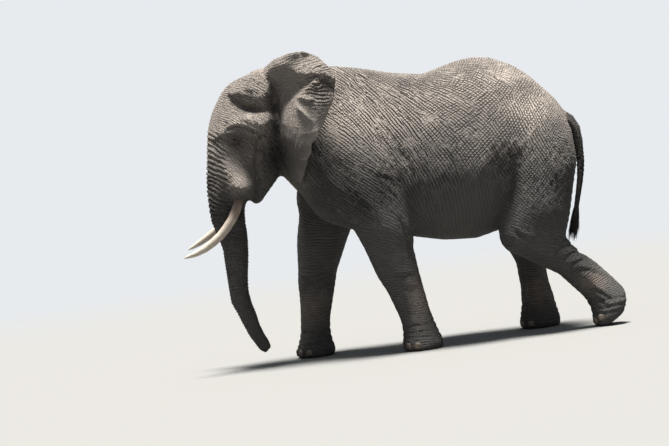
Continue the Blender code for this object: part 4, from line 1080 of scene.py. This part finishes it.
valley_a = wrinkles("way_a", wrinkle.outputs["X"], 6.0, 0.0)
valley_b = wrinkles("way_b", wrinkle.outputs["Y"], 4.0, -0.2)
valleys = maths(tree, "MAXIMUM", valley_a, valley_b)
fine_cracks = maths(tree, "MULTIPLY", cracks(tree, moved, 75.0, 0.12), 0.16)
grain = maths(tree, "MULTIPLY", noise(tree, place, 160.0, 3.0), 0.10)
height = maths(tree, "SUBTRACT", maths(tree, "SUBTRACT", 1.0, valleys), fine_cracks)
height = maths(tree, "ADD", height, grain)
print("the wrinkles of the hide take", len(tree.nodes), "nodes")

# %% Colour of the hide
MUD_AND_SHADE_LEVELS = {"From Min": 1.9, "From Max": 3.1}     # only mud and painted shade below, only dust above
patches = noise(tree, place, 2.2, 5.0, 0.6)
dust_and_highlight = ramp(tree, patches, (0.35, 0.270, 0.240, 0.218), (0.68, 0.430, 0.378, 0.335))
# painted highlights: the stored attribute lightens the dust colour and holds back the mud and painted shade
painted_highlight = attribute(tree, "painted_highlight")
dust_and_highlight = mixed(tree, maths(tree, "MULTIPLY", painted_highlight, 0.7), dust_and_highlight, (0.620, 0.545, 0.480))
# darker low down: partly mud, partly painted shade on the lower body
up = node(tree, "SeparateXYZ", {0: place}).outputs["Z"]
lifted = maths(tree, "MULTIPLY_ADD", patches, 0.7, maths(tree, "MULTIPLY_ADD", painted_highlight, 0.5, up))
mud_and_shade = node(tree, "MapRange", {"Value": lifted, **MUD_AND_SHADE_LEVELS, "To Min": 1.0, "To Max": 0.0},
             interpolation_type="SMOOTHSTEP").outputs[0]
with_mud_and_shade = mixed(tree, mud_and_shade, dust_and_highlight, (0.098, 0.095, 0.091))
dried = maths(tree, "MULTIPLY", attribute(tree, "splash"), maths(tree, "ADD", patches, 0.10))
splashed = mixed(tree, dried, with_mud_and_shade, (0.285, 0.225, 0.190))
# painted shade from the stored attribute, mixed towards near black
with_painted_shade = mixed(tree, attribute(tree, "painted_shade"), splashed, (0.020, 0.019, 0.019))
# painted shade in the wrinkle valleys, darkening them towards near black
with_valley_shade = mixed(tree, valleys, with_painted_shade, (0.008, 0.008, 0.008))
colour_and_relief(tree, shader, with_valley_shade, height, 1.0, 0.024)
hide.cycles.use_bump_map_correction = False
skin.data.materials.clear()
skin.data.materials.append(hide)
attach(skin, "root")
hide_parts(*FLESH)
print("the hide's material:", len(tree.nodes), "nodes")

# %% [markdown]
# ## Eyes
# An elephant's eye is small and set low under the brow: a dark wet ball with an amber-brown iris.
# The solid is a faceted ball, so a finer sphere takes its place, with its clear front pressed out
# a little. Each point keeps its angle from the line of sight, and the material colours by it.
# %% Eyeballs
GAZE = Vector((1.0, -0.22, -0.10)).normalized()
CORNEA_ANGLE = math.radians(34)
CORNEA_BULGE = 0.0016


def finished(piece, slot, material, *replaced):
    """Gives a finished piece its material and its body, and hides the solids that it stands for. The slot is
    not used.
    """
    piece.data.materials.clear()
    piece.data.materials.append(material)
    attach(piece, "root")
    if replaced:
        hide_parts(*replaced)


eye_finish, tree, shader = fresh_material("wet_eye", 0.06, 0.6)
shader.inputs["Coat Weight"].default_value = 0.6
shader.inputs["Coat Roughness"].default_value = 0.03
flecks = noise(tree, object_place(tree), 420.0, 2.0)
wavering = maths(tree, "MULTIPLY_ADD", flecks, 0.05, attribute(tree, "off_sight"))
colour_and_relief(tree, shader, ramp(
    tree, wavering, (0.0, 0.002, 0.002, 0.002), (0.215, 0.002, 0.002, 0.002), (0.235, 0.055, 0.024, 0.008),
    (0.40, 0.115, 0.050, 0.016), (0.52, 0.060, 0.026, 0.010), (0.56, 0.012, 0.008, 0.006),
    (0.66, 0.050, 0.030, 0.022)))

for name, middle in EYES.items():
    bpy.ops.object.select_all(action="DESELECT")
    bpy.ops.mesh.primitive_uv_sphere_add(segments=48, ring_count=32, radius=EYE_RADIUS, location=middle)
    ball = bpy.context.active_object
    ball.name = name + "_ball"
    sight = Vector((GAZE.x * outward_of(middle), GAZE.y, GAZE.z))
    ball.rotation_mode = "QUATERNION"
    ball.rotation_quaternion = sight.to_track_quat("Z", "Y")
    bpy.ops.object.transform_apply(location=True, rotation=True, scale=True)
    outwards = vector_array(ball, "co") - middle
    angles = np.arccos(np.clip(outwards @ np.array(sight) / EYE_RADIUS, -1, 1))
    bulge = CORNEA_BULGE * np.cos(math.pi / 2 * np.clip(angles / CORNEA_ANGLE, 0, 1))
    set_places(ball, middle + outwards * (1 + bulge / EYE_RADIUS)[:, None])
    store(ball, "off_sight", angles)
    bpy.ops.object.shade_smooth()
    finished(ball, "eye", eye_finish, name)
print("eyes look forwards by", round(math.degrees(math.atan2(-GAZE.y, GAZE.x)), 1), "degrees")

# %% [markdown]
# ## Tusks
# A tusk is a long tooth. The solid already has its curve, with flat facets that would show in
# the light. Remeshing a merged copy and smoothing it gives a round tusk of the same size. Two
# numbers are kept for every point: how far it is along the tusk, and where it is round it, so
# that the fine cracks can run lengthwise.
# %% Round the tusks
TUSK_GRAIN = 0.006
TUSK_SMOOTH_ROUNDS = 14
TUSK_SLICES = 30


def tusk_field(places, outward):
    """How far along each point lies, 0 at the root to 1 at the tip, and its place off the middle line."""
    root, tip = places[places[:, 2].argmax()], places[places[:, 1].argmin()]
    along = np.clip((places - root) @ (tip - root) / ((tip - root) @ (tip - root)), 0, 1)
    slices = np.clip((along * TUSK_SLICES).astype(int), 0, TUSK_SLICES - 1)
    count = np.maximum(np.bincount(slices, minlength=TUSK_SLICES), 1)
    middles = np.stack([np.bincount(slices, places[:, i], TUSK_SLICES) / count for i in range(3)], axis=1)
    spots = (np.arange(TUSK_SLICES) + 0.5) / TUSK_SLICES
    middle = np.stack([np.interp(along, spots, middles[:, i]) for i in range(3)], axis=1)
    off = places - middle
    square = np.cross(tip - root, (outward, 0, 0))
    square /= np.linalg.norm(square)
    return along, np.stack((off[:, 0], off @ square, along * 0.10), axis=1)


ivory, tree, shader = fresh_material("worn_ivory", 0.38, 0.45)
shader.inputs["Subsurface Weight"].default_value = 0.06
shader.inputs["Subsurface Radius"].default_value = (0.010, 0.006, 0.003)
along = attribute(tree, "along")
lengthwise = attribute(tree, "lengthwise", "Vector")
cloud = noise(tree, object_place(tree), 9.0, 4.0)
streak = noise(tree, lengthwise, 95.0, 4.0, 0.65)
fine = cracks(tree, lengthwise, 130.0, 0.07)
worn = maths(tree, "MULTIPLY_ADD", maths(tree, "SUBTRACT", cloud, 0.5), 0.30, along)
body = ramp(tree, worn, (0.0, 0.090, 0.066, 0.055), (0.22, 0.200, 0.150, 0.125), (0.38, 0.460, 0.375, 0.320),
            (0.60, 0.540, 0.475, 0.400), (0.92, 0.600, 0.545, 0.455))
streaky = node(tree, "MapRange", {"Value": streak, "From Min": 0.52, "From Max": 0.80}).outputs[0]
stain = maths(tree, "MULTIPLY", streaky, maths(tree, "SUBTRACT", 0.80, along))
stained = mixed(tree, stain, body, (0.150, 0.085, 0.060))
cracked = mixed(tree, maths(tree, "MULTIPLY", fine, 0.45), stained, (0.090, 0.060, 0.045))
relief = maths(tree, "SUBTRACT", streak, maths(tree, "MULTIPLY", fine, 0.6))
colour_and_relief(tree, shader, cracked, relief, 0.5, 0.003)

for name in ("tusk_left", "tusk_right"):
    tusk = copied(name, name + "_ivory")
    apply_modifier(tusk, "REMESH", mode="VOXEL", voxel_size=TUSK_GRAIN)
    apply_modifier(tusk, "SMOOTH", factor=0.5, iterations=TUSK_SMOOTH_ROUNDS)
    places = vector_array(tusk, "co")
    along_tusk, off_middle = tusk_field(places, outward_of(places.mean(0)))
    store(tusk, "along", along_tusk)
    store(tusk, "lengthwise", off_middle)
    bpy.ops.object.shade_smooth()
    finished(tusk, "ivory", ivory, name)
    print(name, "has", len(tusk.data.polygons), "faces")

# %% [markdown]
# ## Toenails
# Each nail is a rounded shield of horn, thick at its free lower edge, with growth ridges across
# it. One nail is shaped from a grid, given a thickness, and copied to the place and direction of
# each solid nail. Its wide side lies across the foot and its lower edge looks at the ground.
# %% Model one nail
NAIL_STEPS = 18
NAIL_SINK = 0.013           # how far a nail is set back into the foot, in metres
NAIL_SWELL = (1, 1, 1.1)    # the nail against its solid: as wide and as tall, a little thicker
RIDGE_COUNT, RIDGE_HEIGHT = 9, 0.0009

bpy.ops.object.select_all(action="DESELECT")
bpy.ops.mesh.primitive_grid_add(x_subdivisions=NAIL_STEPS, y_subdivisions=NAIL_STEPS, size=2)
nail = bpy.context.active_object
nail.name = "nail_pattern"
s, t = vector_array(nail, "co")[:, :2].T
across = s * np.sqrt(1 - 0.38 * t * t) * np.where(t < 0, 1 - 0.10 * t, 1 - 0.06 * t)
up = t * np.sqrt(1 - np.where(t > 0, 0.50, 0.22) * s * s)
rim = np.maximum(np.abs(s), np.abs(t))
dome = (1 - rim**4) * (1 - 0.25 * t) - 0.25 * (1 - np.clip(1 - t, 0, 1)) * rim**6
growth = RIDGE_HEIGHT * np.sin(2 * math.pi * RIDGE_COUNT * (t + 0.10 * s * s) / 2) * (1 - rim**6)
set_places(nail, np.stack((across, up, dome), axis=1))
store(nail, "growth", growth)
store(nail, "up_nail", up)
apply_modifier(nail, "SOLIDIFY", thickness=0.5, offset=-1)
only(nail)
bpy.ops.object.shade_smooth_by_angle(angle=math.radians(50))
print("one nail:", len(nail.data.polygons), "faces")

# %% Place the nails
horn, tree, shader = fresh_material("dull_horn", 0.55, 0.35)
level = attribute(tree, "up_nail")
cloud = noise(tree, object_place(tree), 32.0, 5.0)
base = ramp(tree, maths(tree, "MULTIPLY_ADD", cloud, 0.9, maths(tree, "MULTIPLY", level, 0.25)),
            (0.20, 0.085, 0.066, 0.054), (0.48, 0.235, 0.190, 0.155), (0.80, 0.360, 0.300, 0.245))
upward = node(tree, "CombineXYZ", {"X": maths(tree, "MULTIPLY", level, 9.0)}).outputs[0]
bands = noise(tree, upward, 2.0, 3.0)
banded = mixed(tree, maths(tree, "MULTIPLY", bands, 0.55), base, (0.10, 0.078, 0.064))
colour_and_relief(tree, shader, banded, maths(tree, "ADD", bands, cloud), 0.6, 0.004)

FOOT_NAILS = {"forefoot_left": 5, "forefoot_right": 5, "hindfoot_left": 4, "hindfoot_right": 4}
for foot, count in FOOT_NAILS.items():
    foot_middle = (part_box(foot)[0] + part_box(foot)[1]) / 2
    for number in range(1, count + 1):
        solid = f"nail_{foot}_{number}"
        rows = vector_array(NODES[solid], "co")
        middle = (rows.min(0) + rows.max(0)) / 2
        face = Vector(np.linalg.svd(rows - rows.mean(0), full_matrices=False)[2][2])
        if face.dot(Vector(middle) - foot_middle) < 0:
            face = -face
        upright = (Vector((0, 0, 1)) - face * face.z).normalized()
        wide = upright.cross(face)
        spread = (rows - middle) @ np.array((wide, upright, face)).T
        half = (spread.max(0) - spread.min(0)) / 2
        made = bpy.data.objects.new(solid + "_horn", nail.data.copy())
        bpy.context.scene.collection.objects.link(made)
        unit = vector_array(made, "co")
        ridged = np.empty(len(unit), np.float32)
        made.data.attributes["growth"].data.foreach_get("value", ridged)
        unit = unit * half * NAIL_SWELL
        unit[:, 2] += ridged - NAIL_SINK
        set_places(made, middle + unit @ np.array((wide, upright, face)))
        finished(made, "nail", horn, solid)
bpy.data.objects.remove(nail)
print("nails:", sum(FOOT_NAILS.values()))

# %% [markdown]
# ## Tail tuft and lashes
# The tail ends in coarse black hairs in a front and a back row, and longer ones hang from its
# tip. Particle hair isn't exported, so each hair is a thin tapering strand of mesh with four
# sides. A strand starts at its root, leaves it in one direction and then sags. The long lashes of
# the upper lid are made in the same way. A hair's patch of the UV map lies where its root is on
# an unwrap of the skin round the tail or the eye.
# %% Tools for hair
STRAND_STEPS, STRAND_SIDES = 7, 4
STRAND_TIP = 0.12           # the thickness left at the tip, as a share
PATCH = 0.003               # the side of a hair's patch in the UV map


def strand(root, way, droop, length, thick):
    """Points and faces of one tapering hair."""
    line = []
    spot, heading = np.array(root, float), np.array(way, float)
    for _ in range(STRAND_STEPS):
        line.append(spot)
        heading = heading + np.array(droop) / STRAND_STEPS
        heading /= np.linalg.norm(heading)
        spot = spot + heading * length / (STRAND_STEPS - 1)
    line = np.array(line)
    tangent = np.gradient(line, axis=0)
    tangent /= np.linalg.norm(tangent, axis=1)[:, None]
    side = np.cross(tangent, (0.2, 1.0, 0.1))
    side /= np.linalg.norm(side, axis=1)[:, None]
    other = np.cross(tangent, side)
    taper = thick * np.linspace(1, STRAND_TIP, STRAND_STEPS) ** 0.8
    turns = 2 * math.pi * np.arange(STRAND_SIDES) / STRAND_SIDES
    rings = [line[i] + taper[i] * (math.cos(t) * side[i] + math.sin(t) * other[i])
             for i in range(STRAND_STEPS) for t in turns]
    faces = []
    for i in range(STRAND_STEPS - 1):
        for k in range(STRAND_SIDES):
            a, b = i * STRAND_SIDES + k, i * STRAND_SIDES + (k + 1) % STRAND_SIDES
            faces.append((a, b, b + STRAND_SIDES, a + STRAND_SIDES))
    faces.append(tuple(range(STRAND_SIDES))[::-1])
    faces.append(tuple(range((STRAND_STEPS - 1) * STRAND_SIDES, STRAND_STEPS * STRAND_SIDES)))
    return rings, faces


def hair_piece(name, strands):
    """Joins strands, given as (points, faces, u, v), into one mesh with its map of root patches."""
    points, faces, patches = [], [], []
    for rings, own_faces, u, v in strands:
        start = len(points)
        points.extend(rings)
        for face in own_faces:
            faces.append([start + corner for corner in face])
            for corner in face:
                step, turn = divmod(corner, STRAND_SIDES)
                patches.append((u + PATCH * turn / STRAND_SIDES, v + PATCH * step / STRAND_STEPS))
    mesh = bpy.data.meshes.new(name)
    mesh.from_pydata([tuple(p) for p in points], [], faces)
    mesh.uv_layers.new(name="OFBake").data.foreach_set("uv", np.array(patches, np.float32).ravel())
    made = bpy.data.objects.new(name, mesh)
    bpy.context.scene.collection.objects.link(made)
    only(made)
    bpy.ops.object.mode_set(mode="EDIT")
    bpy.ops.mesh.select_all(action="SELECT")
    bpy.ops.mesh.normals_make_consistent(inside=False)
    bpy.ops.object.mode_set(mode="OBJECT")
    bpy.ops.object.shade_smooth()
    return made


hair, tree, shader = fresh_material("coarse_hair", 0.42, 0.5)
tone = noise(tree, object_place(tree), 60.0, 2.0)
colour_and_relief(tree, shader, ramp(tree, tone, (0.35, 0.010, 0.009, 0.008), (0.70, 0.045, 0.036, 0.030)))

# %% Tail tuft
TUFT_HAIRS = 420
TUFT_ROW = 0.16             # the hairs' roots reach this far up the tail, in metres
TUFT_THICK = (0.0021, 0.0012)                # of the thinnest hair, and how much more at most
ALL_ROUND, IN_ROWS, ROWS_START = 1.2, 0.55, 0.15    # how far hairs stray from the two rows
TAIL_HALF, RING_POINTS = 0.09, 16
ROOT_DEPTH = 0.7            # how far out of the tail's middle a root lies, as a share of its radius
low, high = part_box("tail_tuft")
tail_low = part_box("tail")[0]
tail_skin = vector_array(skin, "co")
tail_skin = tail_skin[(np.abs(tail_skin[:, 0]) < TAIL_HALF) & (tail_skin[:, 1] > tail_low.y)]
tuft_points = vector_array(NODES["tail_tuft"], "co")
upper = tuft_points[tuft_points[:, 2] > high.z - 0.10].mean(0)
lower = tuft_points[tuft_points[:, 2] < low.z + 0.08].mean(0)
lean = (lower - upper) / abs(lower - upper)[2]
chance = random.Random(8)
tuft = []
for i in range(TUFT_HAIRS):
    climb = chance.random() ** 1.6
    z = tail_low.z + 0.01 + TUFT_ROW * climb
    ring = tail_skin[np.argsort(np.abs(tail_skin[:, 2] - z))[:RING_POINTS]]
    middle = (ring.min(0) + ring.max(0)) / 2
    half = (ring.max(0) - ring.min(0)) / 2
    turn = chance.choice((0.5, 1.5)) * math.pi
    turn += chance.gauss(0, IN_ROWS if climb > ROWS_START else ALL_ROUND)
    x, y = math.cos(turn), math.sin(turn)
    root = (middle[0] + ROOT_DEPTH * half[0] * x, middle[1] + ROOT_DEPTH * half[1] * y, z)
    way = (0.14 * x + chance.gauss(0, 0.05), 0.22 * y + lean[1] + chance.gauss(0, 0.06), -1.0)
    droop = (-0.14 * x + chance.gauss(0, 0.06), -0.20 * y + lean[1] + chance.gauss(0, 0.12), -1.0)
    bottom = low.z + 0.01 + 0.10 * chance.random() + 0.10 * climb
    length = max(0.10, min(z - bottom, 0.30)) * (0.70 + 0.30 * chance.random())
    rings, faces = strand(root, way, droop, length, TUFT_THICK[0] + TUFT_THICK[1] * chance.random())
    tuft.append((rings, faces, (turn / (2 * math.pi)) % 1 * 0.9 + 0.05, 0.05 + 0.9 * climb))
tuft_piece = hair_piece("tail_hair", tuft)
finished(tuft_piece, "hair", hair, "tail_tuft")
print("tuft:", len(tuft), "hairs,", len(tuft_piece.data.polygons), "faces")

# %% Lashes
LASHES = 34
LASH_LENGTH, LASH_THICK = (0.026, 0.010), 0.0006
chance = random.Random(5)
lashes = []
for name, middle in EYES.items():
    outward = outward_of(middle)
    for i in range(LASHES):
        u = SLIT_HALF * (-0.86 + 1.72 * (i + 0.5 * chance.random()) / LASHES)
        v = UPPER_OPEN * (1 - (u / SLIT_HALF) ** 2) + 0.0015
        y = u * math.cos(SLIT_TILT) - v * math.sin(SLIT_TILT)
        z = u * math.sin(SLIT_TILT) + v * math.cos(SLIT_TILT)
        x = math.sqrt(EYE_RADIUS**2 - y * y - z * z) + 0.5 * LID
        root = middle + np.array((x * outward, y, z))
        way = (0.9 * outward, 12 * u + chance.gauss(0, 0.15), -0.25 + chance.gauss(0, 0.08))
        length = LASH_LENGTH[0] + LASH_LENGTH[1] * chance.random()
        rings, faces = strand(root, way, (0.10 * outward, 0.0, -0.75), length, LASH_THICK)
        lashes.append((rings, faces, 0.5 + 0.4 * outward * (0.5 + 8 * u), 0.5 + 10 * v))
lash_piece = hair_piece("eyelashes", lashes)
finished(lash_piece, "hair", hair)
print("lashes:", len(lashes))

# %% [markdown]
# ## Stage and light
# A plain pale floor fades into a pale background, so the horizon doesn't show. The light is that
# of a high sun: one strong lamp almost straight above, soft enough for the folds, a wide weak
# one for the bright sky, and a faint bluish world that fills the shadows. The floor looks pale
# but lights the belly like dry ground, or the underside would glow.
# %% Floor
FLOOR_REACH = 60.0
FADE_START, FADE_END = 5.0, 24.0    # where the floor begins to clear, and where it is gone
PALE = (0.21, 0.21, 0.205)          # the floor as the eye sees it
DULL = (0.165, 0.163, 0.157, 1)     # the floor as it lights the belly, like dry ground

bpy.ops.mesh.primitive_plane_add(size=FLOOR_REACH * 2)
floor = bpy.context.active_object
floor.name = "floor"
floor_finish, tree, shader = fresh_material("pale_floor", 0.9)
seen = node(tree, "LightPath").outputs["Is Camera Ray"]
colour_and_relief(tree, shader, mixed(tree, seen, DULL, PALE))
distance = node(tree, "VectorMath", {0: object_place(tree)}, operation="LENGTH").outputs["Value"]
fade = node(tree, "MapRange", {"Value": distance, "From Min": FADE_START, "From Max": FADE_END},
            interpolation_type="SMOOTHERSTEP").outputs["Result"]
clear = node(tree, "BsdfTransparent").outputs[0]
cleared = node(tree, "MixShader", {0: fade, 1: shader.outputs[0], 2: clear}).outputs[0]
tree.links.new(cleared, tree.nodes["Material Output"].inputs["Surface"])
floor.data.materials.append(floor_finish)
print("floor:", 2 * FLOOR_REACH, "m wide")

# %% World and lamps
world = bpy.data.worlds.new("studio")
world.use_nodes = True
tree = world.node_tree
light = tree.nodes["Background"]
light.inputs["Color"].default_value = (0.76, 0.88, 1.0, 1)
light.inputs["Strength"].default_value = 0.105
shown = node(tree, "Background", {"Color": (0.80, 0.83, 0.86, 1), "Strength": 1.0})
path = node(tree, "LightPath")
both = node(tree, "MixShader", {0: path.outputs["Is Camera Ray"], 1: light.outputs[0], 2: shown.outputs[0]})
tree.links.new(both.outputs[0], tree.nodes["World Output"].inputs["Surface"])
bpy.context.scene.world = world
bpy.context.scene.view_settings.view_transform = "Standard"

LAMPS = (
    # name, strength, angle of the disc, colour, where it shines from
    ("key", 11.0, 16, (1.0, 0.97, 0.92), (0.02, 0.0, 1.0)),
    ("soft_top", 0.7, 110, (0.93, 0.96, 1.0), (0.15, 0.0, 1.0)),
)
for name, strength, angle, colour, source in LAMPS:
    lamp_data = bpy.data.lights.new(name, "SUN")
    lamp_data.energy = strength
    lamp_data.angle = math.radians(angle)
    lamp_data.color = colour
    lamp = bpy.data.objects.new(name, lamp_data)
    bpy.context.scene.collection.objects.link(lamp)
    lamp.rotation_mode = "QUATERNION"
    lamp.rotation_quaternion = Vector(source).normalized().to_track_quat("Z", "Y")
print("lamps:", len(LAMPS))
